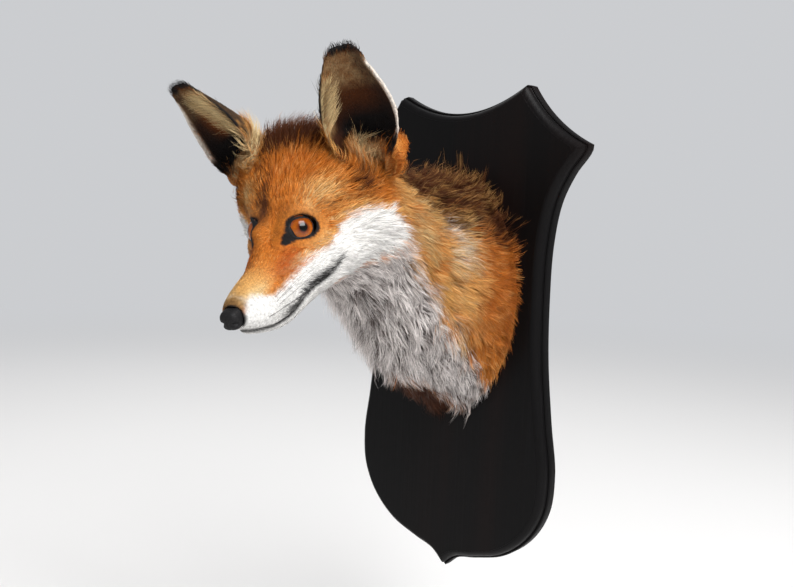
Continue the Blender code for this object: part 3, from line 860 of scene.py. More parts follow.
def leather_finish(name, roughness, colour, scale, depth):
    """Bare black skin: fine pebbles, a little rubbed on the high places."""
    finish = Finish(name, Specular_IOR_Level=0.22)
    place = finish.place()
    pebbles = finish.node("TexVoronoi", Vector=place, Scale=scale)
    grain = finish.noise(place, scale * 2.6, 3.0)
    rubbed = tuple(c * 3.2 for c in colour)
    finish.feed("Base Color", finish.mix(finish.ramp(grain, 0.35, 0.8), colour, rubbed))
    finish.feed("Roughness", grain * 0.25 + (roughness - 0.12))
    finish.relief((1.0 - pebbles) * 0.7 + grain * 0.3, depth)
    return finish.material


def wood_finish():
    """Black stained wood: fine upright grain that catches the light, worn a little brown."""
    tints = bpy.context.scene.fox_plaque
    finish = Finish("fox_plaque_wood", Specular_IOR_Level=0.09)
    place = finish.place()
    broad = finish.noise(place, 26.0, 3.0, stretch=(1.0, 1.0, 0.09))
    fine = finish.noise(place, 330.0, 4.0, stretch=(1.0, 1.0, 0.022))
    stain = tuple(tints.stain)
    brown = (stain[0] * 2.2, stain[1] * 1.35, stain[2] * 1.15)
    colour = finish.mix(finish.ramp(broad, 0.45, 0.8), stain, brown)
    colour = finish.mix(finish.ramp(fine, 0.55, 0.85) * 0.6, colour, tuple(c * 2.6 for c in stain))
    finish.feed("Base Color", colour)
    finish.feed("Roughness", fine * 0.22 + broad * 0.10 + (tints.roughness - 0.14))
    finish.relief(fine * 0.8 + broad * 0.3, 0.0004, 0.5)
    return finish.material


FLOOR_FADE = (0.9, 3.6)  # metres out, where the floor becomes backdrop


def floor_finish():
    """Plain and pale. Far out it passes into the backdrop's colour, so the horizon doesn't show."""
    stage = bpy.context.scene.fox_stage
    finish = Finish("pale_floor", Roughness=0.9)
    place = finish.place()
    cloud = finish.noise(place, 3.0, 3.0)
    floor = tuple(stage.floor)
    finish.feed("Base Color", finish.mix(cloud * 0.04, floor, tuple(c * 0.7 for c in floor)))
    away = finish.node("VectorMath", {"operation": "LENGTH"}, output=1, Vector=place)
    glow = finish.node("Emission", Color=tuple(stage.backdrop))
    tree = finish.tree
    blend = tree.nodes.new("ShaderNodeMixShader")
    join(tree, finish.ramp(away, *FLOOR_FADE), blend.inputs["Fac"])
    tree.links.new(finish.shader.outputs["BSDF"], blend.inputs[1])
    tree.links.new(glow.socket, blend.inputs[2])
    tree.links.new(blend.outputs["Shader"], tree.nodes["Material Output"].inputs["Surface"])
    return finish.material


# ---- the skin ----
GROW = 0.24  # closes the gaps between the flesh nodes
SMOOTH_STEPS = 9
# swellings (+) and hollows (-) of the skin on both sides: centre, reach along each axis, how far
FOLDS = (((18, 86, 30), (9, 7, 5), 1.3), ((10, 69, 18.5), (5.5, 8, 6.5), 3.3),
         ((34, 100, 28), (12, 12, 10), -1.4), ((0, 92, 40), (4, 18, 14), -1.1),
         ((30, 80, 8), (9, 12, 6), 1.2), ((12, 24, -8), (6, 10, 6), 0.9),
         ((32, 88, -16), (6, 6, 6), -1.2), ((25, 86, 18), (6, 6, 7), -2.6),
         ((46, 138, 50), (12, 13, 11), -14.0), ((17, 46, -3), (8, 10, 4), -0.8),
         ((10, 55, 7), (6, 10, 7), 2.0), ((12, 68, 4), (9, 8, 8), 1.0))
RIGHT_FOLD = ((-10, 70, 20), (5.5, 9, 7), 1.2)  # the bridge stands higher by the right eye


def flesh_shape():
    """All the flesh in one bmesh, each node grown a little so that neighbours run into each other."""
    whole = bmesh.new()
    for name in FLESH:
        part = bmesh.new()
        part.from_mesh(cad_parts[name].data)
        bmesh.ops.remove_doubles(part, verts=part.verts, dist=1e-5)
        bmesh.ops.recalc_face_normals(part, faces=part.faces)
        part.normal_update()
        for vert in part.verts:
            vert.co += vert.normal * (GROW * MM)
        mesh = bpy.data.meshes.new("flesh_part")
        part.to_mesh(mesh)
        part.free()
        whole.from_mesh(mesh)
        bpy.data.meshes.remove(mesh)
    return whole


def applied(obj):
    """The object's mesh with its modifiers worked in."""
    bpy.context.scene.collection.objects.link(obj)
    graph = bpy.context.evaluated_depsgraph_get()
    mesh = bpy.data.meshes.new_from_object(obj.evaluated_get(graph))
    bpy.data.objects.remove(obj)
    return mesh


def make_skin():
    """One skin under the whole coat, with the mouth's groove, and the marks stored on it."""
    shape = flesh_shape()
    mesh = bpy.data.meshes.new("flesh")
    shape.to_mesh(mesh)
    shape.free()
    flesh = bpy.data.objects.new("flesh", mesh)
    remesh = flesh.modifiers.new("one_skin", "REMESH")
    remesh.mode = "VOXEL"
    remesh.voxel_size = bpy.context.scene.fox_coat.voxel
    relax = flesh.modifiers.new("relax", "SMOOTH")
    relax.factor = 0.5
    relax.iterations = SMOOTH_STEPS
    mesh = applied(flesh)
    mesh.name = "skin"
    points = vertex_array(mesh) / MM
    normals = vertex_array(mesh, "normal")
    place = Place(points)
    inward = normals * coat_depth(place)[:, None]
    inward[:, 1] *= ease(-17, -45, points[:, 1])  # the skin's back stays against the plaque
    swell = sum(spot(place.side, centre, reach) * out for centre, reach, out in FOLDS)
    swell += RIGHT_FOLD[2] * spot(place.head, *RIGHT_FOLD[:2])
    groove = 1.6 * np.exp(-(place.lip / 1.0) ** 2) * place.mouth * (1 - place.body)
    lip = 0.7 * np.exp(-((place.lip + 2.2) / 1.6) ** 2) * place.mouth * (1 - place.body)
    moved = points - inward + normals * ((swell + lip - groove) * (1 - place.ear))[:, None]
    mesh.vertices.foreach_set("co", (moved * MM).ravel())
    mesh.update()
    mesh.shade_smooth()
    nothing = np.zeros(len(moved))
    set_marks(mesh, markings(Place(moved)), (nothing, nothing + 0.5))
    return bpy.data.objects.new("skin", mesh)


def finder(points):
    """A function that tells, for each place it's given, the number of the nearest point."""
    tree = KDTree(len(points))
    for i, point in enumerate(points):
        tree.insert(point, i)
    tree.balance()
    return lambda places: np.fromiter((tree.find(place)[1] for place in places), np.int64, len(places))


class Surface:
    """The skin as arrays in millimetres, with a way to find the nearest point of it."""

    def __init__(self, mesh):
        self.points = vertex_array(mesh) / MM
        self.normals = vertex_array(mesh, "normal")
        mesh.calc_loop_triangles()
        corners = np.empty(len(mesh.loop_triangles) * 3, np.int32)
        mesh.loop_triangles.foreach_get("vertices", corners)
        self.triangles = corners.reshape(-1, 3)
        self.place = Place(self.points)
        self.lie = lie_of_coat(self.place, self.normals)
        self.nearest = finder(self.points)

    def roots(self, inside, count, chance):
        """About `count` evenly scattered points on the triangles where `inside` is true."""
        kept = self.triangles[inside[self.triangles].all(1)]
        a, b, c = (self.points[kept[:, i]] for i in range(3))
        areas = np.linalg.norm(np.cross(b - a, c - a), axis=1) / 2
        tries = int(count * 3)
        picked = chance.choice(len(kept), tries, p=areas / areas.sum())
        u, v = chance.random((2, tries, 1))
        over = u + v > 1
        u, v = np.where(over, 1 - u, u), np.where(over, 1 - v, v)
        points = a[picked] * (1 - u - v) + b[picked] * u + c[picked] * v
        cell = math.sqrt(areas.sum() / count) * 0.92
        _, first = np.unique(np.floor(points / cell).astype(np.int64), axis=0, return_index=True)
        first = chance.permutation(first)[:count]
        return points[first]


# ---- the coat ----
def regions(place):
    """Which part of the coat each point belongs to."""
    x, y, z = place.head.T
    ear = place.ear > 0.5
    body = ~ear & (place.body > 0.5)
    head = ~ear & ~body
    face = head & (y < 84) & (place.lip > -60)
    brow = head & ~face & (z > 16)
    cheek = head & ~face & ~brow
    nape = body & (place.low < 0.30)
    chest = body & (place.low > 0.66)
    flank = body & ~nape & ~chest
    left = place.world[:, 0] > 0
    return {"coat_muzzle": face, "coat_brow": brow, "coat_cheek_left": cheek & (x > 0),
            "coat_cheek_right": cheek & (x <= 0), "coat_nape": nape, "coat_chest": chest,
            "coat_flank_left": flank & left, "coat_flank_right": flank & ~left, "coat_ears": ear}


#            piece               locks  steps  width  clump  slot
COATS = (("coat_muzzle",        19000,   2,   0.34,  0.10, "coat_face"),
         ("coat_brow",          12000,   3,   0.38,  0.25, "coat_face"),
         ("coat_cheek_left",     8800,   3,   0.42,  0.35, "coat_face"),
         ("coat_cheek_right",    7400,   3,   0.44,  0.35, "coat_face"),
         ("coat_nape",          11200,   3,   0.44,  0.85, "coat_body"),
         ("coat_chest",         12400,   3,   0.46,  0.90, "coat_body"),
         ("coat_flank_left",    12400,   3,   0.39,  0.50, "coat_body"),
         ("coat_flank_right",    8200,   3,   0.50,  0.50, "coat_body"),
         ("coat_ears",           9400,   3,   0.34,  0.15, "coat_ear"))
WISP, TUFT = 2.4, 7.5  # how far apart the points of wisps and tufts are
FACE_TUFT = 4.0


def bare(place):
    """Where no lock grows: on the lids and in the eyes, in the mouth and on the nose."""
    band = np.minimum(place.lids - place.opening, LID_BAND) * 0.8
    lids = (place.eye_out < place.opening + band) & (place.eye_front > 0.5) | (place.eye < EYE_RADIUS + 0.6)
    mouth = (place.mouth > 0.5) & (np.abs(place.lip) < 0.7) & (place.body < 0.5)
    nose = (np.abs((place.head - np.array(NOSE)) / np.array(NOSE_SIZE)) ** NOSE_SQUARE).sum(1) < 1.15
    # the ears' outer rims stay bare, so their painted highlight on the skin shows
    rim = (place.ear > 0.5) & (place.ear_across < -0.92) & (place.ear_up > 0.22) & (place.ear_up < 0.84)
    wall = place.world[:, 1] > PLAQUE_FACE - 1.0
    return lids | mouth | nose | rim | wall


def tuft_leaders(roots, spacing):
    """For each lock, the lock whose tip it gathers at, with those about `spacing` apart."""
    _, leaders = np.unique(np.floor(roots / spacing).astype(np.int64), axis=0, return_index=True)
    return leaders[finder(roots[leaders])(roots)]


def grown_spines(surface, roots, steps, chance, clump):
    """Each lock's line: it leaves the skin at its lift, then bends over to lie along the coat."""
    count = len(roots)
    near = surface.nearest(roots)
    place = Place(roots)
    wisp = tuft_leaders(roots, WISP)
    share = place.body.round().mean()
    tuft = tuft_leaders(roots, TUFT * share + FACE_TUFT * (1 - share))

    def varied(values, low, spread, by_tuft, middle):
        """The values made to differ from lock to lock, and from tuft to tuft."""
        own = low + spread * chance.random(count)
        return values * own * (1 + by_tuft * clump * (chance.random(count)[tuft] - middle))

    length = varied(hair_length(place), 0.80, 0.35, 0.55, 0.5)
    lift = varied(hair_lift(place), 0.7, 0.6, 1.1, 0.45)
    stray = chance.random(count) < 0.012 + 0.04 * wall_share(place)
    length = np.where(stray, length * 1.3, length)
    lift = np.where(stray, lift * 1.7, lift)
    turn = chance.normal(0, 0.10, count) + 0.22 * ripple(roots, 17, 1.3)
    turn += 0.42 * clump * chance.normal(0, 1.0, count)[tuft] + 0.15 * chance.normal(0, 1.0, count)[wisp]
    points = [roots - surface.normals[near] * 0.4]
    step = (length / steps)[:, None]
    droop = 0.12 * ease(10, 25, length)
    for i in range(steps):
        normals, lie = surface.normals[near], surface.lie[near]
        aside = np.cross(normals, lie)
        lie = lie * np.cos(turn)[:, None] + aside * np.sin(turn)[:, None]
        angle = (lift * (1.25 - 0.9 * i / steps))[:, None]
        way = lie * np.cos(angle) + normals * np.sin(angle)
        way[:, 2] -= droop * i / steps
        points.append(points[-1] + unit(way) * step)
        if i < steps - 1:
            near = surface.nearest(points[-1])
    spines = np.stack(points, 1)
    along = np.linspace(0, 1, steps + 1)[None, :, None] ** 1.4
    for leader, share in ((tuft, 0.62), (wisp, 0.70)):
        pull = clump * share * (0.3 + 0.7 * chance.random((count, 1, 1)))
        spines = spines + (spines[leader] - spines) * along * pull
    return splayed(spines), place, tuft


def splayed(spines):
    """Locks that would run into the plaque slide out over its face instead."""
    over = np.maximum(spines[..., 1] - (PLAQUE_FACE - 0.5), 0)
    middle, top, foot = NECK[-1][1:]
    out = unit(spines * (1, 0, 1) - np.array((middle, 0, (top + foot) / 2)))
    spines = spines + out * (0.8 * over)[..., None]
    spines[..., 1] -= over
    return spines


LOCK_SECTION = ((-0.5, -0.15), (0.5, -0.15), (0.0, 0.32))  # a lock's corners, sideways and up, in its widths


def lock_mesh(name, spines, normals, width):
    """Thin three-sided locks that taper to a point, all in one mesh. Returns it and each vertex's lock."""
    count, rows = spines.shape[:2]
    steps = rows - 1
    ways = unit(np.diff(spines, axis=1))
    sides = unit(np.cross(ways, normals[:, None, :]))
    ups = np.cross(sides, ways)
    taper = (1 - (np.arange(steps) / steps) ** 1.5)[None, :, None] * width[:, None, None]
    base = spines[:, :-1]
    corners = np.stack([base + sides * taper * aside + ups * taper * up for aside, up in LOCK_SECTION], 2)
    verts = np.concatenate([corners.reshape(count, steps * 3, 3), spines[:, -1:]], 1)
    tip = steps * 3
    per_lock = tip + 1
    faces = [(0, 1, 2)]
    for a, b in ((1, 0), (2, 1), (0, 2)):
        for k in range(steps - 1):
            faces.append((3 * k + a, 3 * k + b, 3 * k + 3 + b, 3 * k + 3 + a))
        faces.append((3 * (steps - 1) + a, 3 * (steps - 1) + b, tip))
    sizes = np.array([len(face) for face in faces])
    pattern = np.concatenate(faces)
    loops = (np.arange(count)[:, None] * per_lock + pattern[None, :]).ravel().astype(np.int32)
    totals = np.tile(sizes, count)
    starts = np.concatenate([[0], np.cumsum(totals)[:-1]]).astype(np.int32)
    mesh = bpy.data.meshes.new(name)
    mesh.vertices.add(count * per_lock)
    mesh.vertices.foreach_set("co", (verts * MM).ravel())
    mesh.loops.add(len(loops))
    mesh.loops.foreach_set("vertex_index", loops)
    mesh.polygons.add(len(totals))
    mesh.polygons.foreach_set("loop_start", starts)
    mesh.update(calc_edges=True)
    mesh.shade_smooth()
    along = np.concatenate([np.repeat(np.arange(steps) / steps, 3), [1.0]])
    across = np.concatenate([np.tile((-1.0, 1.0, 0.0), steps), [0.0]])
    return mesh, loops, along, across


def unwrap(place):
    """The coat's own map: round the muzzle, round the neck, and across and up the ears."""
    x, y, z = place.head.T
    wx, wy, wz = place.world.T
    middle, top, foot = read(NECK, wy)
    around_head = np.arctan2(x, z + 4) / (2 * math.pi)
    around_neck = np.arctan2(wx - middle, wz - (top + foot) / 2) / (2 * math.pi)
    body = place.body > 0.5
    u = np.where(body, around_neck, around_head)
    v = np.where(body, wy, y)
    on_ear = place.ear > 0.5
    inner = place.ear_wall < 0
    ear_u = 0.25 * (place.ear_across * 0.45 + 0.5) + 0.25 * inner + 0.5 * place.ear_side
    return np.stack([np.where(on_ear, ear_u, u), np.where(on_ear, place.ear_up, v)], 1)


PATCH = 0.003  # the size of one lock on the map


def set_bake_map(mesh, loops, place, along, across):
    flat = unwrap(place)
    low, high = flat.min(0), flat.max(0)
    flat = 0.01 + 0.98 * (flat - low) / (high - low)
    patch = np.stack([across * PATCH / 2, (along - 0.5) * PATCH], 1)
    every = (flat[:, None, :] + patch[None, :, :]).reshape(-1, 2)
    layer = mesh.uv_layers.new(name="OFBake")
    layer.data.foreach_set("uv", every[loops].astype(np.float32).ravel())


def strand_wise(marks, chance, count):
    """The marks with soft edges broken into single locks, each more wholly of one colour."""
    shift = (chance.random(count) - 0.5) * 0.55
    return {name: ease(0.12, 0.88, weight + shift * ease(0.02, 0.3, weight) * ease(0.98, 0.7, weight))
            for name, weight in marks.items()}


def make_coat(surface, name, locks, steps, width, clump, chance):
    """One piece of the coat."""
    inside = regions(surface.place)[name] & ~bare(surface.place)
    locks = int(locks * bpy.context.scene.fox_coat.growth)
    roots = surface.roots(inside, locks, chance)
    spines, place, tuft = grown_spines(surface, roots, steps, chance, clump)
    count = len(roots)
    near = surface.nearest(roots)
    widths = width * (0.7 + 0.6 * chance.random(count))
    mesh, loops, along, across = lock_mesh(name, spines, surface.normals[near], widths)
    marks = strand_wise(markings(place), chance, count)
    per_lock = len(along)
    marks = {key: np.repeat(weight, per_lock) for key, weight in marks.items()}
    own = chance.random(count)
    shared = np.clip(0.5 + 1.2 * (own * 0.6 + own[tuft] * 0.4 - 0.5), 0, 1)
    set_marks(mesh, marks, (np.tile(along, count), np.repeat(shared, per_lock)))
    set_bake_map(mesh, loops, place, along, across)
    return bpy.data.objects.new(name, mesh)


# ---- eyes, lids, nose, whiskers ----
EYE_SEGMENTS = 56
IRIS_BULGE, BULGE_RADIUS = 0.03, 0.6  # in eye radii


def make_eye(label, side):
    """A glass eye with a slight bulge over the iris; its stored look vector drives its colours."""
    shape = bmesh.new()
    bmesh.ops.create_uvsphere(shape, u_segments=EYE_SEGMENTS, v_segments=EYE_SEGMENTS // 2, radius=1.0)
    look = np.array([vert.co for vert in shape.verts])
    turn = Matrix(eye_axes(side)).transposed()
    middle = Vector(eye_middle(side)) - turn.col[2] * GLASS_BACK
    for vert in shape.verts:
        off_gaze = math.hypot(vert.co.x, vert.co.y) / BULGE_RADIUS
        bulge = 1 + IRIS_BULGE * math.exp(-off_gaze ** 4) * (vert.co.z > 0)
        vert.co = middle + turn @ vert.co * GLASS_RADIUS * bulge
    bmesh.ops.recalc_face_normals(shape, faces=shape.faces)
    eye = finished_on_head("glass_eye_" + label, shape)
    set_attribute(eye.data, "look", look)
    return eye


LID_SEGMENTS = 90
#             across the band (0 at the glass, 1 at its outer edge), and out from the glass or the skin
LID_SECTION = ((0.0, -0.6), (0.0, 0.15), (0.15, 0.40), (0.40, 0.55), (0.70, 0.42), (0.95, 0.10),
               (1.15, -0.25), (1.1, -1.4), (0.4, -1.6))


def make_lids(label, side, skin):
    """The bare black lids: a fold that rises from the glass and runs out into the skin."""
    tail, up, gaze = eye_axes(side)
    centre = eye_middle(side)
    degrees = np.arange(LID_SEGMENTS) * 360 / LID_SEGMENTS
    opening, border = read_round(OPENING, degrees), read_round(LIDS, degrees)
    band = np.minimum(border - opening, LID_BAND)
    turn = np.radians(degrees)[:, None]
    spokes = tail * np.cos(turn) + up * np.sin(turn)
    rings = []
    for share, out in LID_SECTION:
        far = opening + band * share
        level = np.sqrt(GLASS_RADIUS ** 2 - np.minimum(far, GLASS_RADIUS) ** 2) - GLASS_BACK
        for i, spoke in enumerate(spokes):
            point = centre + spoke * far[i]
            level[i] = max(level[i], skin_level(skin, point, gaze))
        level = sum(np.roll(level, k) for k in range(-3, 4)) / 7
        rings.append(centre + spokes * far[:, None] + gaze * (level + out)[:, None])
    shape = bmesh.new()
    loft(shape, rings, around=True)
    return finished_on_head("lids_" + label, shape)


def skin_level(skin, point, gaze):
    """How far along the gaze the skin lies over a point of the eye's middle plane."""
    start = Vector(head_vectors(point + gaze * 2 * EYE_RADIUS) + NOSE_TIP) * MM
    way = Vector(head_vectors(-gaze))
    away = skin.ray_cast(start, way, 2 * EYE_RADIUS * MM)[3]
    return 0.0 if away is None else 2 * EYE_RADIUS - away / MM


#             place on the left, reach, depth
NOSTRILS = (((3.6, -5.9, -0.6), 1.3, 1.1), ((5.2, -4.4, -1.2), 1.3, 1.5), ((6.1, -2.4, -2.4), 1.2, 0.8))


def make_nose():
    """The nose pad: a blunt block with a flat top, two comma-shaped nostrils and a groove."""
    shape = bmesh.new()
    bmesh.ops.create_uvsphere(shape, u_segments=96, v_segments=64, radius=1.0,
                              matrix=Matrix.Rotation(math.radians(90), 4, "X"))
    for vert in shape.verts:
        blunt = sum(abs(c) ** NOSE_SQUARE for c in vert.co) ** (-1 / NOSE_SQUARE)
        point = Vector(a * b * blunt for a, b in zip(vert.co, NOSE_SIZE))
        point.x *= 1 - 0.10 * max(0.0, -point.z / NOSE_SIZE[2])
        dent = sum(depth * math.exp(-((point - Vector((x * side, y, z))).length / reach) ** 2)
                   for (x, y, z), reach, depth in NOSTRILS for side in (1, -1))
        groove = 0.35 * math.exp(-(point.x / 0.6) ** 2) * max(0.0, -vert.co.y) * (1 if point.z < 1.5 else 0.3)
        push = point.normalized() * dent
        vert.co = point - push + Vector((0, groove, 0)) + Vector(NOSE)
    return finished_on_head("nose_pad", shape)


#            root on the left side (head frame)    reach back, out and down
WHISKERS = (((15.5, 24.0, -8.0), (48.0, 9.0, 10.0)), ((16.2, 29.0, -10.0), (46.0, 10.0, 4.0)),
            ((15.8, 20.0, -11.0), (40.0, 12.0, -2.0)), ((16.5, 33.0, -13.0), (38.0, 11.0, -3.0)),
            ((14.8, 26.0, -5.5), (30.0, 8.0, 9.0)), ((16.0, 36.0, -8.0), (34.0, 9.0, 7.0)))
WHISKER_RADIUS, WHISKER_STEPS = 0.16, 8


def make_whiskers():
    """Stiff black whiskers that lie back along the cheeks."""
    shape = bmesh.new()
    for side in (1, -1):
        for (x, y, z), (back, out, rise) in WHISKERS:
            line = []
            for f in np.linspace(0, 1, WHISKER_STEPS + 1):
                aside = x - 1.5 + out * (f - 0.25 * f * f) + 1.5 * f
                line.append(Vector((side * aside, y + back * f, z + rise * (f - 0.35 * f * f) - 2.5 * f * f)))
            rings = []
            for i, point in enumerate(line):
                way = (line[min(i + 1, WHISKER_STEPS)] - line[max(i - 1, 0)]).normalized()
                a = way.cross(Vector((0, 0, 1))).normalized()
                b = way.cross(a)
                radius = WHISKER_RADIUS * (1 - 0.88 * i / WHISKER_STEPS)
                rings.append([point + (a * math.cos(t) + b * math.sin(t)) * radius
                              for t in np.linspace(0, 2 * math.pi, 5)[:-1]])
            loft(shape, rings)
    return finished_on_head("whiskers", shape)


# ---- the plaque ----
HORN_X, HORN_BLUNT, TOP_SAG, PLAQUE_TOP = 61.0, 5.0, 18.0, 200.0
CORNER, CORNER_SAG = (117.5, 153.0), 5.0
SIDE = (CORNER, (117.0, 149.0), (104.5, 132.0), (94.0, 111.0), (88.0, 80.0), (86.5, 36.0), (88.0, -11.0),
        (93.5, -60.0), (99.0, -101.0), (96.0, -130.0), (82.5, -155.0), (59.0, -174.5), (31.0, -184.5),
        (12.0, -190.0), (0.0, -200.0))
#            in from the edge, out from the wall
MOULDING = ((0.6, 0.0), (0.0, 0.6), (0.0, 6.6), (0.35, 7.4), (1.1, 7.9), (1.7, 7.6), (2.1, 8.3), (2.25, 10.2),
            (2.8, 11.9), (3.8, 13.2), (5.1, 14.3), (6.3, 15.0), (6.9, 15.2), (7.4, 15.25), (7.5, 15.5))
MITRE_LIMIT = 0.35  # how sharp a corner may stay when moved in
SLACK = 0.05  # how much nearer than that an inset point may lie


def through(points, count):
    """Points evenly spaced on a smooth curve through the given ones, which it never overshoots."""
    points = np.asarray(points, float)
    at = np.concatenate([[0], np.cumsum(np.hypot(*np.diff(points, axis=0).T))])
    slope = np.diff(points, axis=0) / np.diff(at)[:, None]
    tangent = np.vstack([slope[:1], (slope[1:] + slope[:-1]) / 2, slope[-1:]])
    turned = slope[1:] * slope[:-1] <= 0
    tangent[1:-1][turned] = 0
    f = np.linspace(0, at[-1], count)
    k = np.clip(np.searchsorted(at, f, side="right") - 1, 0, len(at) - 2)
    h = (at[k + 1] - at[k])[:, None]
    t = (f - at[k])[:, None] / h
    return (points[k] * (1 + 2 * t) * (1 - t) ** 2 + tangent[k] * h * t * (1 - t) ** 2
            + points[k + 1] * t * t * (3 - 2 * t) - tangent[k + 1] * h * t * t * (1 - t))


def plaque_outline():
    """The shield's outline, clockwise from the middle of its top edge."""
    right = [(HORN_X * f, PLAQUE_TOP - TOP_SAG * (1 - f * f)) for f in np.linspace(0, 1, 22)]
    horn = np.array((HORN_X + HORN_BLUNT, PLAQUE_TOP - 1.0))
    run = np.array(CORNER) - horn
    inward = np.array((run[1], -run[0])) / np.linalg.norm(run)
    for f in np.linspace(0, 1, 18):
        right.append(horn + run * f + inward * CORNER_SAG * 4 * f * (1 - f))
    right.extend(through(SIDE, 110)[1:])
    right = np.array(right)
    return np.vstack([right, right[1:-1][::-1] * (-1, 1)])


def inset(outline, depth):
    """The outline moved in by `depth`. Points that this takes too near another side close up."""
    after, before = np.roll(outline, -1, 0), np.roll(outline, 1, 0)
    normals = []
    for edge in (outline - before, after - outline):
        normals.append(np.stack([edge[:, 1], -edge[:, 0]], 1) / np.linalg.norm(edge, axis=1)[:, None])
    mean = normals[0] + normals[1]
    mean /= np.maximum((mean * normals[0]).sum(1), MITRE_LIMIT)[:, None]
    moved = outline + mean * depth
    run = after - outline
    away = moved[:, None] - outline
    along = np.clip((away * run).sum(2) / (run * run).sum(1), 0, 1)
    room = np.linalg.norm(away - along[:, :, None] * run, axis=2).min(1)
    number = np.arange(len(moved))
    clear = room > depth - SLACK
    for column in moved.T:
        column[:] = np.interp(number, number[clear], column[clear], period=len(moved))
    return moved


def make_plaque():
    """The shield: its outline moved in step by step along the moulding."""
    outline = plaque_outline()
    shape = bmesh.new()
    rings = [[(x, -out, z) for x, z in inset(outline, depth)] for depth, out in MOULDING]
    loft(shape, rings)
    bmesh.ops.remove_doubles(shape, verts=shape.verts, dist=0.02)
    bmesh.ops.recalc_face_normals(shape, faces=shape.faces)
    bmesh.ops.triangulate(shape, faces=[face for face in shape.faces if len(face.verts) > 4])
    return finished("shield", shape, sharp=24)


# ---- the stage ----
CAMERA_AT = (0.42265, -0.55, 0.0918)
CAMERA_WAY = (-0.66681, 0.74019, -0.08650)
CAMERA_ROLL = math.radians(1.93)
CAMERA_LENS = 37.41
FLOOR_DROP = 0.16  # below the plaque's foot
FLOOR_RADIUS = 9000.0
KEY_WAY = Vector((0.68, -0.13, 0.72))  # from the fox to the window light
FOX_MIDDLE = Vector((0.02, -0.16, 0.06))
#          where, size, share of the key or fill power
LIGHTS = (("key", FOX_MIDDLE + KEY_WAY * 1.9, 1.35, "key"),
          ("front", Vector((-0.9, -1.9, 0.8)), 1.6, "fill"),
          ("back", Vector((-1.5, 0.9, 1.2)), 1.6, "fill"))
SUN_SPREAD = 50.0


def make_floor():
    shape = bmesh.new()
    foot = (CAD_BOX[0].z - FLOOR_DROP) / MM
    bmesh.ops.create_circle(shape, cap_ends=True, segments=96, radius=FLOOR_RADIUS,
                            matrix=Matrix.Translation((0, 0, foot)))
    floor = finished("floor", shape)
    bpy.context.scene.collection.objects.link(floor)
    floor.data.materials.append(floor_finish())


def hang(name, light, position):
    """Put a light in its place, looking at the fox."""
    lamp = bpy.data.objects.new(name, light)
    lamp.location = position
    lamp.rotation_mode = "QUATERNION"
    lamp.rotation_quaternion = (FOX_MIDDLE - position).to_track_quat("-Z", "Y")
    bpy.context.scene.collection.objects.link(lamp)


def make_lights():
    settings = bpy.context.scene.fox_stage
    for name, position, size, power in LIGHTS:
        light = bpy.data.lights.new(name, "AREA")
        light.shape = "SQUARE"
        light.size = size
        light.energy = getattr(settings, power)
        hang(name, light, position)
    sun = bpy.data.lights.new("sun", "SUN")
    sun.energy = settings.sun
    sun.angle = math.radians(SUN_SPREAD)
    hang("sun", sun, FOX_MIDDLE + KEY_WAY * 3)
    world = bpy.data.worlds.new("studio")
    world.use_nodes = True
    nodes, links = world.node_tree.nodes, world.node_tree.links
    background = nodes["Background"]
    background.inputs["Color"].default_value = (*settings.backdrop, 1.0)
    strength = nodes.new("ShaderNodeMapRange")
    strength.inputs["To Min"].default_value = settings.sky / max(settings.backdrop)
    links.new(nodes.new("ShaderNodeLightPath").outputs["Is Camera Ray"], strength.inputs["Value"])
    links.new(strength.outputs["Result"], background.inputs["Strength"])
    bpy.context.scene.world = world


def make_camera():
    data = bpy.data.cameras.new("camera")
    data.lens = CAMERA_LENS
    data.sensor_width = 36.0
    data.clip_start = 0.01
    camera = bpy.data.objects.new("camera", data)
    camera.location = CAMERA_AT
    camera.rotation_mode = "QUATERNION"
    upright = Vector(CAMERA_WAY).to_track_quat("-Z", "Y")
    camera.rotation_quaternion = upright @ Matrix.Rotation(CAMERA_ROLL, 3, "Z").to_quaternion()
    bpy.context.scene.collection.objects.link(camera)
    bpy.context.scene.camera = camera
    bpy.context.scene.view_settings.view_transform = "Standard"


# ---- operators ----
class FOX_OT_stage(bpy.types.Operator):
    """Make the floor, the lights and the camera"""
    bl_idname = "fox.stage"
    bl_label = "Stage"

    def execute(self, context):
        make_camera()
        make_lights()
        make_floor()
        return {"FINISHED"}


class FOX_OT_plaque(bpy.types.Operator):
    """Make the black shield that the head hangs on"""
    bl_idname = "fox.plaque"
    bl_label = "Plaque"

    def execute(self, context):
        show(make_plaque(), wood_finish(), "plaque_wood", "plaque")
        return {"FINISHED"}


class FOX_OT_skin(bpy.types.Operator):
    """Make the one skin that lies under the coat"""
    bl_idname = "fox.skin"
    bl_label = "Skin"

    def execute(self, context):
        show(make_skin(), skin_finish(), "coat_body", *FLESH)
        return {"FINISHED"}


class FOX_OT_coat(bpy.types.Operator):
    """Grow the coat's locks on the skin"""
    bl_idname = "fox.coat"
    bl_label = "Coat"

    def execute(self, context):
        surface = Surface(bpy.data.objects["skin"].data)
        finish = coat_finish()
        chance = np.random.default_rng(SEED)
        for name, locks, steps, width, clump, slot in COATS:
            show(make_coat(surface, name, locks, steps, width, clump, chance), finish, slot)
        return {"FINISHED"}


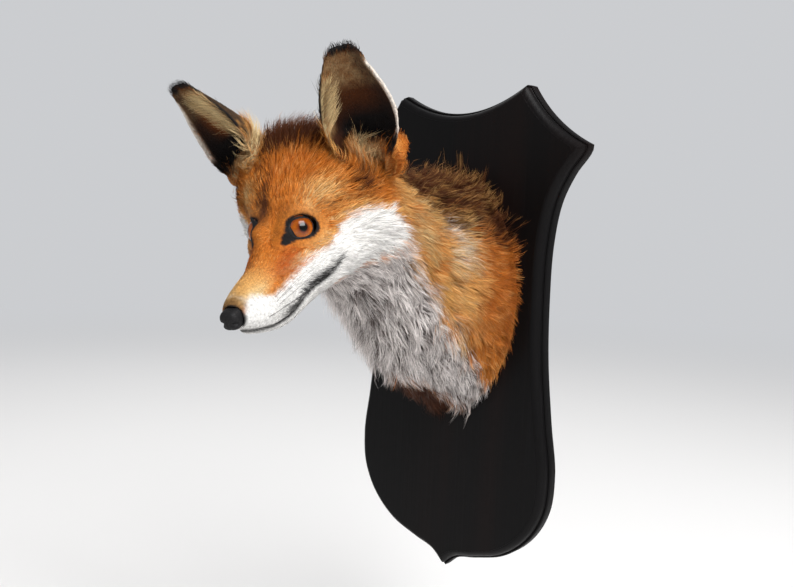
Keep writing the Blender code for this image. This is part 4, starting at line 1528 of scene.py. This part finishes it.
class FOX_OT_eyes(bpy.types.Operator):
    """Make the glass eyes and the rims of their lids"""
    bl_idname = "fox.eyes"
    bl_label = "Eyes"

    def execute(self, context):
        skin = BVHTree.FromObject(bpy.data.objects["skin"], bpy.context.evaluated_depsgraph_get())
        glass = glass_finish()
        rims = leather_finish("fox_lids", 0.62, (0.0025, 0.0022, 0.0024), 900.0, 0.0002)
        for label, side in EYE_SIDES.items():
            show(make_eye(label, side), glass, "glass_eye", "eye_" + label)
            show(make_lids(label, side, skin), rims, "nose_skin")
        return {"FINISHED"}


class FOX_OT_nose(bpy.types.Operator):
    """Make the nose pad and the whiskers"""
    bl_idname = "fox.nose"
    bl_label = "Nose and Whiskers"

    def execute(self, context):
        pad = leather_finish("fox_nose", 0.60, (0.0028, 0.0025, 0.0028), 1300.0, 0.0002)
        show(make_nose(), pad, "nose_skin", "nose")
        show(make_whiskers(), leather_finish("fox_whisker", 0.40, (0.012, 0.010, 0.010), 600.0, 0.0001),
             "nose_skin")
        return {"FINISHED"}


STEPS = (FOX_OT_stage, FOX_OT_plaque, FOX_OT_skin, FOX_OT_eyes, FOX_OT_nose, FOX_OT_coat)
SETTINGS = {"fox_coat": FoxCoatSettings, "fox_eyes": FoxEyeSettings, "fox_plaque": FoxPlaqueSettings,
            "fox_stage": FoxStageSettings}


class FOX_PT_panel(bpy.types.Panel):
    """The fox's settings, and a button for each of its pieces"""
    bl_idname = "FOX_PT_panel"
    bl_label = "Mounted Fox Head"
    bl_space_type = "VIEW_3D"
    bl_region_type = "UI"
    bl_category = "Fox"

    def draw(self, context):
        for name in SETTINGS:
            box = self.layout.box()
            group = getattr(context.scene, name)
            for key in group.bl_rna.properties.keys():
                if key not in ("rna_type", "name"):
                    box.prop(group, key)
        for step in STEPS:
            self.layout.operator(step.bl_idname)


def register():
    for cls in (*SETTINGS.values(), *STEPS, FOX_PT_panel):
        bpy.utils.register_class(cls)
    for name, cls in SETTINGS.items():
        setattr(bpy.types.Scene, name, PointerProperty(type=cls))


def unregister():
    for name in SETTINGS:
        delattr(bpy.types.Scene, name)
    for cls in (FOX_PT_panel, *reversed(STEPS), *SETTINGS.values()):
        bpy.utils.unregister_class(cls)


def main():
    register()
    for step in STEPS:
        area, name = step.bl_idname.split(".")
        getattr(getattr(bpy.ops, area), name)()


if __name__ == "__main__":
    main()
